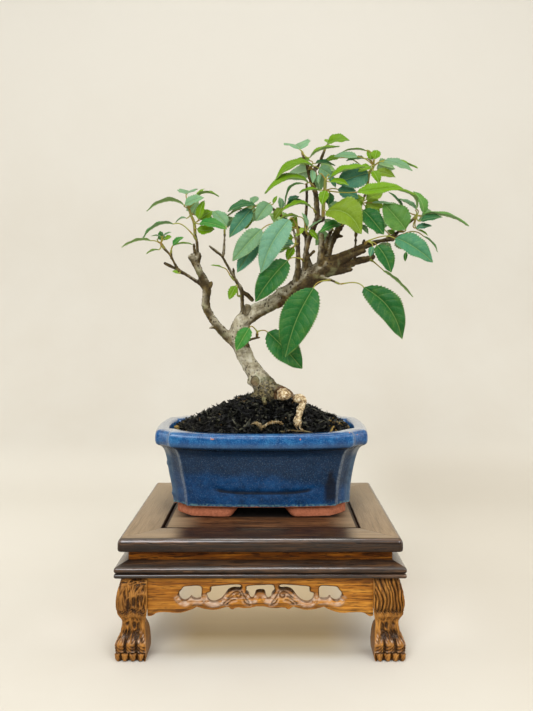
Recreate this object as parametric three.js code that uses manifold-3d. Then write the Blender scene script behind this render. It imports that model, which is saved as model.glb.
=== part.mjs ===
// Crabapple bonsai in a blue glazed pot, on a carved display stand. Millimetres, +Z up, the front
// facing -Y.
//
// The tree is set out on its front elevation: every place on it is written [x, z, y], where x and z
// are read off the elevation as it looks from a viewpoint in front, and y is the depth behind the
// middle plane. sight() carries such a place along its line of sight to its true position.
import * as THREE from "three";
import Module from "manifold-3d";

const wasm = await Module();
wasm.setup();

// -------------------------------------------------------------------------------------------------
// Driving dimensions
// -------------------------------------------------------------------------------------------------

const STAND = { width: 219, depth: 195, height: 92.4 }; // over the top board, and up to its upper face
const TOP = { thickness: 10.4, rail: 30, panelThickness: 7, panelSunk: 0.5, panelGap: 1, panelShift: 0.5 };
const WAIST = { inset: 7.4, bottom: 74.1, width: 16 };
const MOULDING = { overhang: 2.2, bottom: 62.7, width: 24 };
const APRON = { thickness: 7, setback: 3 };
const LEG = { overhang: 1.3, width: 24.2 };
const FLOOR = -1.2; // the floor that the feet stand on; every height below is counted from 1.2 above it

const POT = { width: 180, depth: 106, height: 74.2, y: 3, foot: 9.1, floor: 17, cut: 13, step: 2.6, rimWidth: 11,
  swell: 4.5, sideSwell: 2.6, sag: 2 };
const GAP = 0.3; // clearance between pieces that meet on a curved or cut face
const JOINT = 0.15; // half the hairline at a mitre

const VIEWPOINT = new THREE.Vector3(8.2, -669.5, 263.2);

const COLOURS = {
  darkWood: { color: 0x4a3325, roughness: 0.45 },
  panelWood: { color: 0x6b4b34, roughness: 0.5 },
  lightWood: { color: 0x9a642c, roughness: 0.55 },
  glaze: { color: 0x27477a, roughness: 0.15 },
  soil: { color: 0x161713, roughness: 0.95 },
  screen: { color: 0x20252a, roughness: 0.8 },
  bark: { color: 0x8f836a, roughness: 0.9 },
  leaf: { color: 0x5b8f3c, roughness: 0.5 },
};

// -------------------------------------------------------------------------------------------------
// The tree's wood: each limb is a row of [x, z, y, radius]
// -------------------------------------------------------------------------------------------------

const LIMBS = {
  "trunk": [[14, 168, 0, 13], [9, 186, 0, 12.5], [3, 198, 0, 11], [-2.5, 206.5, 0, 9],
    [-8, 214.5, 0, 7.8],
    [-13, 223, 0, 7.4], [-16.5, 231, 0, 7.6], [-19.8, 240, 0, 8], [-20, 250, 0, 8.6],
    [-15.5, 259, -1, 7.8],
    [-6, 266, -2, 7.3], [5, 271.5, -3, 7], [16, 278, -3, 7.4], [27, 285, -3, 8], [38, 292, -2, 8.2],
    [49, 300, 0, 9], [58, 305.3, 0, 8.4], [69.4, 306.8, 0, 5.6]],
  "burr": [[-9, 205, -3, 6], [-7, 204.5, -8, 5]],
  "limb_knob": [[15, 280, -3, 6.5], [22, 284, -7, 6.2]],
  "root_knob": [[8, 197, -8, 7], [15, 194, -14, 6], [19, 190.5, -17, 5]],
  "root_front": [[4, 197, -4, 8], [13, 195.5, -11, 6], [21, 192.5, -16, 5], [28, 189.5, -21, 4],
    [34, 187.5, -24.5, 4.2],
    [35.4, 182, -27, 3.9], [34.2, 172, -29.5, 3.5], [32.4, 164, -30.5, 3.8], [32, 154, -27, 3.4]],
  "root_left": [[0, 190, 0, 9], [-14, 179, -6, 5.5], [-26, 168, -10, 4]],
  "root_back": [[6, 190, 4, 9], [14, 182, 18, 6], [24, 170, 30, 4]],
  "root_middle": [[5, 194, -9, 4], [2, 189, -16, 2.6], [3, 183, -20, 2.2]],
  "root_surface": [[32.8, 161.5, -30, 1.6], [25.9, 160.5, -31, 1.3], [18.9, 165.5, -35, 1.3],
    [12, 167, -36, 1.4], [7, 166.5, -36, 1.5], [2.5, 162.5, -35.5, 1.5], [-0.5, 157.6, -34.5, 1.5]],
  "root_curl": [[0.5, 158.1, -34.5, 1.5], [-2, 164.5, -36, 2.1], [-6.9, 166, -35, 1.7],
    [-11.9, 163.5, -32, 1.3]],
  "left_limb": [[-18, 234, 0, 6], [-28, 242, 0, 5.2], [-36.5, 250, 0, 4.4], [-44.2, 260, 0, 3.9],
    [-49.5, 270, 0, 4], [-49.5, 281.1, 0, 4.1], [-49.4, 289.1, 0, 4.3], [-52.7, 296.2, 0, 3.8],
    [-57.3, 305.2, 0, 3.6],
    [-60.8, 312.3, 0, 3.9], [-63.9, 317.9, 0, 3.6]],
  "left_limb_heel": [[-58.3, 309.3, 0, 3], [-56.1, 315.3, 0, 2.6], [-56.1, 319.4, 0, 2]],
  "left_leader": [[-57.8, 311.3, 0, 2.6], [-57.5, 319.4, 0, 2], [-58, 328.5, 0, 1.5],
    [-59.6, 337, 0, 1.4]],
  "left_leader_snag": [[-58.3, 315.3, 0, 1.8], [-60.2, 321.4, 0, 1.2], [-60.6, 327, 0, 0.8]],
  "left_spur": [[-41, 253, 0, 2.6], [-44.5, 252, -2, 1.6], [-47.5, 251.3, -3, 1]],
  "left_knuckle": [[-50.1, 271, 0, 3], [-54.3, 272, -1, 1.4]],
  "left_snag": [[-47.2, 288.1, 0, 2.2], [-45.4, 290.6, 0, 1.2], [-45, 293.3, 0, 0.8]],
  "low_twig": [[-50.2, 287.1, 0, 3], [-55.2, 291.1, -1, 2.2], [-61.2, 295.2, -1, 1.9],
    [-68.3, 299.7, -1, 1.8],
    [-74.3, 303.2, -1, 1.9], [-78.4, 310.3, -1, 1.4], [-82.4, 317.3, -1, 1.4], [-88, 323.4, -1, 1.6]],
  "low_snag": [[-73.3, 302.7, -1, 1.6], [-80.3, 306.2, -1, 1.1], [-87.4, 309.8, -1, 0.9]],
  "low_spur": [[-80.4, 313.3, -1, 1.2], [-81.2, 318.4, -1, 1]],
  "middle_stem": [[-17, 256, 0, 4], [-17, 264, 0, 2.6], [-17.4, 272, 0, 2], [-17.7, 281.1, 0, 2.1],
    [-18.6, 286.6, 0, 2.4], [-22.1, 292.1, 0, 1.9], [-26.1, 299.2, 0, 1.7], [-30.7, 307.3, 0, 1.5],
    [-35.7, 315.9, 0, 1.5],
    [-40.7, 319.9, 0, 1.7], [-47.6, 325.5, 0, 1.1]],
  "middle_knob": [[-14.5, 261, -3, 3.6], [-13.4, 267, -3, 3.3], [-12.6, 271.5, -3, 2]],
  "middle_spur": [[-17.9, 284.1, 0, 1.8], [-13, 281.1, -1, 1.7], [-10, 278.1, -1, 1.5],
    [-7.6, 275.6, -1, 1.2]],
  "middle_snag": [[-24.5, 295.7, 0, 1.2], [-25.5, 305.3, 0, 0.7]],
  "middle_shoot": [[-34.7, 314.3, 0, 1.1], [-33.8, 322.4, 0, 0.9], [-33.1, 335.6, 0, 0.8]],
  "trunk_twig": [[-15, 240, -4, 2.4], [-9.5, 241.5, -6, 1.4], [-4, 242.8, -6, 1.2],
    [-1, 243.3, -6, 0.9]],
  "trunk_spur": [[-4.6, 242, -6, 1.3], [-4.1, 247, -6, 0.9]],
  "fork_low": [[55.2, 300.2, -1, 5], [66.3, 301.2, -2, 3], [74.4, 302.6, -2, 2.4],
    [81.4, 304.3, -2, 1.9]],
  "fork_main": [[60.3, 304.3, 1, 6], [72.4, 307.3, 2, 4.6], [84.5, 310.9, 2, 3.8], [96.6, 313.9, 2, 3],
    [101.6, 315.9, 2, 2.4]],
  "fork_main_snag": [[97.6, 313.4, 2, 2.2], [99.2, 321.5, 2, 1.2]],
  "fork_cut": [[60.3, 307.3, -2, 5], [72.4, 312.4, -3, 3.2], [82.5, 316.9, -4, 2.6],
    [93.1, 321.5, -5, 2.5]],
  "fork_long": [[57.3, 311.3, -3, 4], [68.4, 316.4, -4, 2.4], [80.5, 321.5, -5, 2], [90.6, 325.5, -6, 2],
    [101.7, 328.6, -6, 1.9], [111.8, 330.1, -6, 2], [118.9, 330.4, -6, 1.6]],
  "fork_long_snag": [[90.6, 325, -6, 1.9], [91.3, 330.6, -6, 0.9]],
  "fork_long_tip": [[114.9, 330.6, -6, 1.4], [126, 335, -7, 0.9]],
  "right_twig": [[111.8, 330.1, -5, 1.5], [121, 336.7, -3, 1.2], [129.1, 344.3, -2, 1.2],
    [136.2, 349.4, -2, 1.3]],
  "under_twig": [[50.2, 298.2, -5, 3], [56.2, 296, -8, 1.9], [62.3, 294.2, -9, 1.5],
    [66.8, 292.2, -9, 1.2]],
  "stem_left": [[30.1, 288.1, -5, 4.4], [31.5, 300.2, -7, 3], [32.4, 312.3, -7, 2.6],
    [32.6, 324.5, -7, 2],
    [32.8, 336.7, -7, 1.7]],
  "stem_leader": [[38.1, 293.2, -1, 5], [38.6, 306.3, -2, 3.4], [39.4, 318.4, -2, 2.8],
    [41.8, 330.6, -2, 2.8], [45.8, 340.7, -2, 2.8], [49.4, 349.9, -2, 3], [49, 361.1, -1, 2.8],
    [48.1, 371.3, 0, 2.6],
    [45.1, 380.5, 0, 2.5], [42.4, 388.7, 0, 2.2], [40.4, 396.8, 0, 1.9], [37.6, 403, 0, 1.5],
    [36.4, 407.1, 0, 1.2]],
  "leader_knuckle": [[49.4, 347.8, -2, 3], [53.9, 348.4, -3, 2.6], [54.9, 352.4, -3, 1.9]],
  "stem_snag": [[38.7, 312.3, -4, 2], [42.2, 315.9, -6, 1.4], [47.3, 320.8, -7, 0.8]],
  "stem_behind": [[44.2, 300.2, 6, 4], [40.2, 320.4, 12, 2], [38.9, 344.8, 14, 1.8],
    [40.1, 363.1, 14, 1.7],
    [40, 381.5, 13, 1.4]],
  "stem_cut": [[52.3, 306.3, -4, 4.6], [52.9, 322.5, -5, 3.1], [53.1, 336.7, -5, 2.9]],
  "stem_right": [[55.3, 308.3, 2, 5.5], [59.9, 322.5, 4, 3.9], [65, 333.6, 5, 3.5], [72.6, 346.8, 6, 3]],
  "stem_right_snag": [[67.5, 333.6, 4, 2.4], [73.1, 333.6, 2, 1]],
  "stem_middle": [[55.3, 318.4, 0, 2.6], [57.4, 328.6, -1, 2.2], [63, 340.7, -1, 1.8]],
  "thin_stem": [[82.9, 310.3, 1, 1.4], [83.5, 320.5, 1, 1.1], [83.8, 330.6, 2, 1], [84.3, 340.8, 3, 0.9]],
  "left_crown_twig": [[42.3, 331.6, 1, 2], [30.2, 342.8, 6, 1.3], [18.1, 350.9, 10, 1.1],
    [9.5, 358.5, 12, 1.1]],
  "top_twig": [[42.9, 386.6, 1, 1.6], [50.1, 395.8, 8, 1.1], [53.1, 403, 8, 1], [56.2, 410.7, 6, 0.9]],
  "right_crown_twig": [[70.6, 342.8, 6, 2.4], [84.8, 360.1, 10, 1.8], [91.4, 368.3, 10, 1.5],
    [94.5, 379.5, 9, 1.4]],
  "back_limb_middle": [[57, 305, 4, 5], [61, 322, 20, 2.6], [66, 334, 32, 2.1], [74, 348, 43, 1.5]],
  "back_limb_left": [[33, 291, 2, 5], [32.5, 310, 18, 2.4], [31, 328, 30, 1.9], [28, 340, 38, 1.4]],
  "back_limb_right": [[64, 306, 3, 4.8], [82, 318.5, 20, 2.4], [101, 327, 32, 1.9], [112, 332, 39, 1.5]],
  "back_twig_top": [[44, 384, 1, 1.8], [45.6, 390, 14, 1.2], [47, 394.6, 27, 1]],
};

// -------------------------------------------------------------------------------------------------
// The leafy shoots. stem: the green stem, [x, z, y, radius] rows, its first point inside the wood.
// A leaf is [base x, z, y, tip x, z, y, width, roll, arch, tone]. Its petiole springs from the
// nearest stem point. roll turns the upper face from the front (0) to straight up (90) and on to
// the back (180); arch is the midrib's rise. A last number sweeps the midrib sideways.
// -------------------------------------------------------------------------------------------------

const SHOOTS = {
  "shoot_left_leader": { stem: [[-59.6, 335.6, 0, 1.5], [-60.5, 345.5, 0, 1.5],
    [-63.5, 353, 0, 1.3], [-65, 358.5, 0, 1.1]],
    leaves: [[-69.5, 361.5, -2, -103.4, 358, -8, 12, 86, 5.5, "bright"],
      [-67.5, 371, 2, -64, 374.5, 24, 20, 84, 0, "pale"],
      [-58, 368.5, -2, -38, 370, -6, 11, 76, 3.5, "bright"],
      [-57.5, 367, 3, -51.5, 376.5, 8, 6, 40, 1, "bright"],
      [-69, 361, -5, -51.5, 368.5, -10, 12, 42, 1, "pale"],
      [-56.5, 348.5, -4, -51.5, 366, -6, 9, 18, 1, "bright"],
      [-55.5, 348, 3, -44, 356.5, 8, 12, 15, 1, "bright"],
      [-56, 344.5, -7, -31, 340, -13, 12, 40, 3, "mid"],
      [-58, 340, -4, -42, 339.5, -10, 11, 30, -2, "bright"],
      [-67, 349.5, 2, -77.6, 345.5, 4, 5, 60, 2, "pale"],
      [-54, 352, 12, -43, 346, 32, 14, 160, 2, "mid"],
      [-62, 354, 12, -57, 364, 30, 14, 160, 2, "mid"]] },
  "shoot_left_side": { stem: [[-58.6, 330.5, 0, 1.4], [-61, 334.5, -3.4, 1.2]],
    leaves: [[-79, 344.5, -5, -107.7, 333, -11, 13, 74, 4.5, "mid"]] },
  "shoot_low_tip": { stem: [[-87, 322.4, -1, 1.5], [-90, 327, -1, 1.5]],
    leaves: [[-99, 329.5, -3, -125.7, 324, -7, 11, 78, 3, "bright"],
      [-92, 321.5, -3, -103.5, 318, -6, 6, 72, 1, "bright"],
      [-90, 333.5, 2, -99, 334, 4, 4, 65, 0.5, "pale"],
      [-88, 333.5, -2, -81, 337.5, -4, 4, 55, 0.5, "pale"],
      [-86.5, 331.5, -3, -80.5, 333, -5, 6, 30, 0, "bright"],
      [-93, 331, 8, -87, 334.5, 24, 11, 150, 2, "mid"]] },
  "shoot_low_spur": { stem: [[-81.2, 316.8, -1, 1.2], [-80.9, 321.4, -1, 1.1]],
    leaves: [[-79.5, 325, -2, -70, 333, -5, 7.5, 40, 1, "mid"],
      [-77.5, 326, 1, -61.2, 327, 3, 4, 72, 1, "bright"]] },
  "shoot_low_side": { stem: [[-72.8, 302.7, -1, 1], [-73.3, 300.2, -2.6, 1]],
    leaves: [[-74.3, 300.7, -3.5, -80, 302.2, -6, 5, 45, 0, "bright"]] },
  "shoot_middle_top": { stem: [[-33.2, 333.6, 0, 0.9], [-33.3, 340.2, 0, 1.1]],
    leaves: [[-31.5, 342, 2, -44, 356.4, 8, 14, 22, 2, "pale"],
      [-31.3, 345, 5, -24.5, 350, 20, 11, 150, 2, "mid"]] },
  "shoot_middle_low": { stem: [[-24.7, 294.2, 0, 1], [-28.1, 298.2, -2.4, 0.9]],
    leaves: [[-34.7, 305.6, -4, -45.7, 307.8, -6, 4, 80, 0.5, "bright"]] },
  "shoot_middle_side": { stem: [[-18.1, 280.1, 0, 1], [-21.6, 280.1, -3, 1]],
    leaves: [[-23, 289.5, -5, -29.3, 276.9, -7, 9, 15, 0.5, "bright"]] },
  "shoot_trunk": { stem: [[-4.1, 244.5, -6, 1.2], [-4.1, 248.5, -6.4, 1.2]],
    leaves: [[-11, 252, -13, -23, 231.5, -18, 14, 10, 1.5, "mid"],
      [5, 248, -11, 36.4, 215.5, -15, 27, 12, 4, "deep"]] },
  "shoot_under_near": { stem: [[60.8, 294.4, -9, 1.2], [58.7, 294.2, -12.6, 1.1]],
    leaves: [[46.2, 287.5, -22, 21, 226, -30, 33, 4, 3, "deep", -3]] },
  "shoot_under_tip": { stem: [[65.3, 292.7, -9, 1.2], [69.8, 290.8, -9, 1]],
    leaves: [[91, 288, -12, 126, 242, -22, 27, 5, 3, "deep", 6]] },
  "shoot_stem_low": { stem: [[37.2, 311.3, -3, 1.2], [35.6, 313.4, -11.5, 1]],
    leaves: [[23.1, 311.8, -18, -6, 275.5, -24, 24, 8, 3, "deep", -1]] },
  "shoot_stem_left": { stem: [[32.8, 334.6, -7, 1.6], [31.8, 340.7, -9, 1.4]],
    leaves: [[24.7, 348.3, -20, -1, 300.7, -30, 23, 5, 4, "pale"],
      [0, 339.7, -14, -26.2, 311.3, -20, 19, 10, 3, "pale"],
      [-2, 332.6, -6, -22.1, 301.2, -10, 17, 5, 2, "bluegreen"],
      [29.2, 350.9, -4, 25.7, 336.7, -8, 6, 30, 1, "bright"]] },
  "shoot_left_crown": { stem: [[10.6, 357.5, 12, 1.2], [6.5, 361.5, 12, 1.2]],
    leaves: [[7, 362.9, 6, -5.1, 347.3, -1, 16, 6, 2, "pale"],
      [-5.1, 360.5, 6, -30.8, 355.7, -2, 14, 55, 3, "dark"],
      [-9.1, 357.5, 8, -29.2, 333.1, 2, 16, 8, 2, "bluegreen"],
      [-16.2, 358, 13, -33.3, 349.3, 12, 8, 78, 2, "olive"],
      [-8.1, 362, 14, -4.1, 369.2, 22, 9, 25, 1, "pale"],
      [-9.1, 352.9, 15, -15.1, 339.7, 18, 10, 20, 1, "olive"],
      [10.3, 362.6, 13, 13.6, 369.7, 14, 4, 20, 0.5, "bright"],
      [-4, 356, 24, -22, 346, 42, 16, 165, 2, "mid"]] },
  "shoot_left_crown_low": { stem: [[18.1, 350.9, 10, 1.1], [16.7, 354.9, 10, 1.1]],
    leaves: [[17.1, 358, 11, 16.1, 368.7, 14, 7, 25, 1, "pale"],
      [24.2, 363.1, 18, 33.3, 369.5, 24, 9, 40, 1, "bluegreen"]] },
  "shoot_leader_low": { stem: [[48.4, 354, -2, 1.3], [46.8, 356.5, -7.6, 1.2]],
    leaves: [[44.4, 359, -10, 17.6, 356.5, -16, 13, 64, 5, "bright"]] },
  "shoot_leader_base": { stem: [[41.9, 334.6, -3, 1.3], [39.3, 337.7, -8.6, 1.3]],
    leaves: [[33.3, 350.9, -12, 15.6, 349.9, -16, 9, 70, 1.5, "olive"],
      [41.3, 340.2, -11, 53.9, 348.7, -15, 4.5, 70, 0.5, "pale"]] },
  "shoot_stem_side": { stem: [[31.8, 326.5, -7, 1.2], [30.2, 326.8, -12.4, 1.2]],
    leaves: [[28.8, 327.1, -13, 17.6, 325.5, -15, 8, 45, 1, "bluegreen"],
      [28.7, 323.5, -10, 22.1, 312.3, -11, 9, 20, 1, "bright"],
      [26.6, 323.3, -13, 13.1, 319, -15, 4, 70, 0.5, "bright"],
      [28.2, 332.1, -7, 19.6, 330.6, -4, 9, 30, 1, "bright"]] },
  "shoot_leader_mid": { stem: [[46.9, 376.9, 0, 1.3], [44.6, 379.9, -5.4, 1.2]],
    leaves: [[41.9, 381.3, -8, 2, 373.8, -16, 18, 56, 7.5, "bright"],
      [38.9, 379.9, 4, 20.1, 360, 10, 8, 82, 8, "mid"]] },
  "shoot_leader_high": { stem: [[41.4, 392.7, 0, 1.3], [44.1, 395.8, -4.6, 1.3]],
    leaves: [[46, 396.4, -6, 10.6, 384.5, -14, 16, 58, 6.5, "bright"],
      [47.5, 398.4, 4, 65.8, 396.4, 10, 9, 58, 2, "dark"],
      [50.6, 394.3, 5, 62.7, 387.5, 7, 12, 10, 1, "pale"],
      [43, 400.9, 5, 29.3, 402, 12, 8, 60, 1, "bright"],
      [40.9, 392, 14, 22, 386, 34, 15, 165, 2, "pale"]] },
  "shoot_leader_top": { stem: [[36.6, 405.6, 0, 1.2], [35.8, 409.5, 0, 1.2]],
    leaves: [[34, 410.8, 1, 28.5, 415.5, 26, 27, 84, 1, "pale"],
      [43, 404, -4, 69.9, 413.5, -9, 12, 66, 3.5, "bright"]] },
  "shoot_top": { stem: [[55.7, 409.2, 6, 1], [57.5, 413.8, 5.4, 1]],
    leaves: [[57.9, 415.1, 4, 78.6, 419, -3, 17, 46, 3, "bright"],
      [60, 416, 11, 66, 419, 32, 14, 85, 1, "bright"]] },
  "shoot_young": { stem: [[54.7, 350.9, -3, 1.8], [55.1, 363.1, -4, 1.8], [56.2, 374.4, -4.6, 1.7],
    [56.8, 384.1, -5, 1.5]],
    leaves: [[61.2, 385.4, -9, 94.1, 395.5, -15, 15, 58, 3.5, "bright"],
      [60.6, 382, -12, 77.8, 379, -18, 10, 52, 1.5, "bright"],
      [85, 373, -13, 126.5, 378, -21, 14, 38, 0, "bright"],
      [51.5, 374.6, -9, 32.8, 372.8, -13, 9, 62, 1.5, "bright"],
      [60.6, 372.8, 0, 59.5, 361.6, 4, 11, 10, 1, "dark"],
      [67.7, 375.4, -3, 86.9, 367.7, 0, 14, 8, 1, "bluegreen"],
      [58.3, 355.5, -12, 88.7, 339.2, -22, 28, 40, 7, "olive"]] },
  "shoot_thin": { stem: [[84.3, 339.2, 3, 1], [84.9, 343.6, 3, 1]],
    leaves: [[88.7, 343.8, -4, 95.2, 335.7, -6, 6, 20, 0.5, "pale"]] },
  "shoot_crown_right_low": { stem: [[86.8, 362.7, 10, 1.5], [89.4, 362.8, 5.6, 1.3]],
    leaves: [[92.4, 363.2, 3, 109.1, 359.6, 1, 12, 12, 1, "lime"],
      [98, 363.5, -4, 118.2, 362.7, -10, 4, 40, 0.5, "pale"],
      [90, 357, -3, 109, 335, -11, 20, 10, 2, "dark"]] },
  "shoot_crown_right": { stem: [[94.2, 378.5, 9, 1.5], [95.9, 389.7, 8, 1.5], [100.2, 396.4, 5, 1.3]],
    leaves: [[95.1, 390, -1, 67.7, 382, -5, 20, 4, 2, "bluegreen"],
      [85.6, 404.5, 0, 64.3, 405, -6, 10, 32, 1, "pale"],
      [92.2, 403, 6, 74.9, 401, 4, 8, 45, 1, "dark"],
      [69.9, 403.5, 11, 55.7, 401, 13, 7, 35, 1, "bright"],
      [93.2, 410, 5, 71.9, 410, 7, 6, 80, 1.5, "bright"],
      [97.7, 401.5, 4, 94.3, 411, 6, 7, 12, 0.5, "bright"],
      [100.8, 402, 1, 102.9, 411, 4, 10, 10, 1, "bright"],
      [108.4, 400, -2, 134.7, 392, -8, 13, 40, 2, "pale"],
      [110.4, 401, 6, 139.8, 394.5, 4, 10, 76, 2, "bright"],
      [101.2, 391, 0, 119.4, 386.5, -6, 12, 26, 1, "olive"],
      [104, 398, 14, 118, 394, 36, 14, 165, 2, "mid"],
      [92, 390, 18, 76, 385, 40, 16, 165, 2, "mid"]] },
  "shoot_right_tip": { stem: [[135.2, 348.9, -2, 1.4], [138.3, 352, -3, 1.4]],
    leaves: [[137.3, 356.6, -6, 118.8, 375.5, -13, 12, 66, 7.5, "bright"],
      [143.9, 352.8, 1, 135.5, 374, 4, 13, 32, 4, "mid"],
      [138.4, 357.5, 2, 122.3, 367, 4, 9, 48, 1, "pale"],
      [141.8, 351.5, -5, 185.7, 344.5, -15, 13, 74, 4.5, "mid"],
      [141.5, 347, -9, 161.5, 350.5, -15, 12, 46, 1, "dark"],
      [137.2, 340.8, -4, 151.8, 342.6, -9, 9, 42, 0.5, "bluegreen"],
      [139.2, 339.3, 0, 148.7, 334.2, -2, 4.5, 48, 0.5, "bright"],
      [126.7, 358.1, 2, 113.2, 373.9, 5, 6, 55, 1, "dark"],
      [143, 352, 10, 154, 350, 34, 15, 150, 2, "mid"]] },
  "shoot_right_mid": { stem: [[122, 337.7, -3, 1.2], [127, 337.7, -7, 1.2]],
    leaves: [[128.5, 339.3, -9, 108.5, 363, -5, 27, 6, 2, "mid"]] },
  "shoot_long_mid": { stem: [[91.6, 326.1, -6, 1.3], [94.2, 329.2, -9.6, 1.3]],
    leaves: [[118.9, 331.6, -15, 153, 310.9, -25, 22, 22, 4, "deep"],
      [102.5, 325.5, -13, 115.5, 301, -19, 18, 8, 2, "deep", 1.5],
      [99, 324.5, -13, 96.6, 315, -15, 6, 20, 0.5, "bluegreen"]] },
  "shoot_long_tip": { stem: [[117.4, 330.4, -6, 1.3], [120.4, 332.9, -3.4, 1.2]],
    leaves: [[118.4, 334.5, 0, 111.9, 339.2, 4, 6, 30, 0.5, "bright"],
      [144.2, 333.7, 10, 158.1, 320, 6, 6, 78, 1.5, "mid"],
      [128.9, 319.5, 4, 127.8, 310.9, 4, 4, 20, 0.3, "mid"]] },
  "shoot_main_tip": { stem: [[95.6, 313.4, 1, 1.5], [99.6, 311, -1.4, 1.2]],
    leaves: [[108.6, 303.1, -6, 135.5, 279.1, -14, 9, 78, 1.5, "bright"]] },
  "shoot_stem_right": { stem: [[72.1, 345.3, 5, 1.5], [72.6, 345.2, -1, 1.3]],
    leaves: [[71.1, 343.2, -5, 51.4, 337.2, -11, 12, 38, 3.5, "mid"]] },
  "shoot_back_middle": { stem: [[73.4, 347, 42.6, 1.6], [75, 351, 46, 1.5]],
    leaves: [[70, 355, 50, 58.5, 364, 64, 17, 165, 3, "mid"],
      [76, 356, 52, 84, 368, 62, 17, 160, 3, "mid"],
      [78, 352, 54, 87, 341, 68, 18, 150, 3, "deep"],
      [71, 350, 58, 62, 354, 76, 17, 120, 3, "deep"]] },
  "shoot_back_low": { stem: [[65.6, 334, 31.4, 1.4], [64.5, 336, 37, 1.3]],
    leaves: [[60, 335, 40, 48, 326, 52, 16, 160, 3, "mid"],
      [63, 341, 42, 56, 349, 54, 14, 160, 3, "deep"]] },
  "shoot_back_left": { stem: [[28.2, 339, 37.4, 1.5], [25, 341, 42, 1.4]],
    leaves: [[20, 340, 46, 4, 328, 60, 18, 165, 3, "mid"],
      [21, 344, 48, 7, 353, 60, 17, 150, 3, "bright"],
      [23, 334, 50, 14, 318, 62, 19, 165, 3, "deep"],
      [15, 330, 64, 2, 312, 74, 19, 165, 3, "deep"]] },
  "shoot_back_right": { stem: [[111, 331, 38, 1.5], [114, 334.6, 42, 1.4]],
    leaves: [[116, 340, 46, 122, 356, 58, 18, 160, 3, "mid"],
      [109, 340, 47, 98, 350, 60, 18, 165, 3, "mid"],
      [120, 331, 47, 138, 322, 58, 18, 160, 3, "deep"],
      [112, 328, 52, 108, 311, 62, 16, 165, 3, "deep"]] },
  "shoot_back_top": { stem: [[46.8, 394, 26, 1.2], [48, 396, 30, 1.2]],
    leaves: [[44, 393, 36, 27, 389, 50, 15, 160, 3, "mid"],
      [52, 394, 38, 66, 391, 54, 16, 150, 3, "bright"],
      [49, 388, 40, 52, 374, 56, 17, 160, 3, "mid"]] },
};

// ribSpans: [blades shorter than this, pieces along the midrib], the edge having twice as many.
const BLADE = { ribSpans: [[11, 2], [34, 3], [Infinity, 4]],
  thickness: 1.3, fold: 0.3, tooth: 0.05, wave: 0.05 };
const PETIOLE = { radius: 0.75, spans: 2, offset: 0.5 };

// -------------------------------------------------------------------------------------------------
// Solids
// -------------------------------------------------------------------------------------------------

// A closed solid from a list of points and a list of triangles that share them, turned right side out.
function closedSolid(points, triangles) {
  const vertProperties = new Float32Array(points.flatMap((p) => (p.isVector3 ? p.toArray() : p)));
  const triVerts = new Uint32Array(triangles.flat());
  const made = new wasm.Manifold(new wasm.Mesh({ numProp: 3, vertProperties, triVerts }));
  return made.volume() > 0 ? made : closedSolid(points, triangles.map(([a, b, c]) => [a, c, b]));
}

// The triangles that fill a flat outline, wound the same way round as the outline.
function fillOutline(outline) {
  const points = outline.map(([x, y]) => new THREE.Vector2(x, y));
  const forward = THREE.ShapeUtils.area(points) > 0;
  return THREE.ShapeUtils.triangulateShape(points, []).map(([a, b, c]) => {
    const same = THREE.ShapeUtils.area([points[a], points[b], points[c]]) > 0 === forward;
    return same ? [a, b, c] : [a, c, b];
  });
}

// Rings of equally many points, joined in order and closed by a flat fan at each end.
function loft(rings) {
  const n = rings[0].length;
  const triangles = [];
  for (let r = 0; r + 1 < rings.length; r++) {
    for (let i = 0; i < n; i++) {
      const a = r * n + i;
      const b = r * n + ((i + 1) % n);
      triangles.push([a, b, b + n], [a, b + n, a + n]);
    }
  }
  const last = (rings.length - 1) * n;
  for (const [a, b, c] of fillOutline(rings[0])) {
    triangles.push([a, c, b], [last + a, last + b, last + c]);
  }
  return closedSolid(rings.flat(), triangles);
}

// A bar with mitred ends, along X at the front. profile: [inset from the outer face, z], going
// round from the outer bottom. half: half the outer length; front: the outer face's distance in
// front of the middle.
function mitredBar(profile, half, front) {
  const ring = (side) => profile.map(([u, z]) => [side * (half - u - JOINT), u - front, z]);
  const n = profile.length;
  const triangles = [];
  for (let i = 0; i < n; i++) {
    const j = (i + 1) % n;
    triangles.push([i, n + j, j], [i, n + i, n + j]);
  }
  for (const [a, b, c] of fillOutline(profile)) triangles.push([a, b, c], [n + a, n + c, n + b]);
  return closedSolid([...ring(-1), ...ring(1)], triangles);
}

// A whole mitred frame as one solid: the outer outline less the inner one at each profile point.
function mitredFrame(profile, half, front) {
  const corner = ([u, z]) => [[-1, -1], [1, -1], [1, 1], [-1, 1]]
    .map(([sx, sy]) => [sx * (half - u), sy * (front - u), z]);
  const points = profile.flatMap(corner);
  const triangles = [];
  profile.forEach((_, i) => {
    const j = (i + 1) % profile.length;
    for (let k = 0; k < 4; k++) {
      const [a, b] = [i * 4 + k, i * 4 + ((k + 1) % 4)];
      const [c, d] = [j * 4 + k, j * 4 + ((k + 1) % 4)];
      triangles.push([a, b, d], [a, d, c]);
    }
  });
  return closedSolid(points, triangles);
}

// An extruded shape as a solid, standing up in the XZ plane, its front face at y and its thickness
// going back.
function standingBoard(shape, y, thickness, curveSegments) {
  const geometry = new THREE.ExtrudeGeometry(shape, { depth: thickness, bevelEnabled: false, curveSegments });
  geometry.rotateX(Math.PI / 2).translate(0, y + thickness, 0);
  return solidOf(geometry);
}

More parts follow.
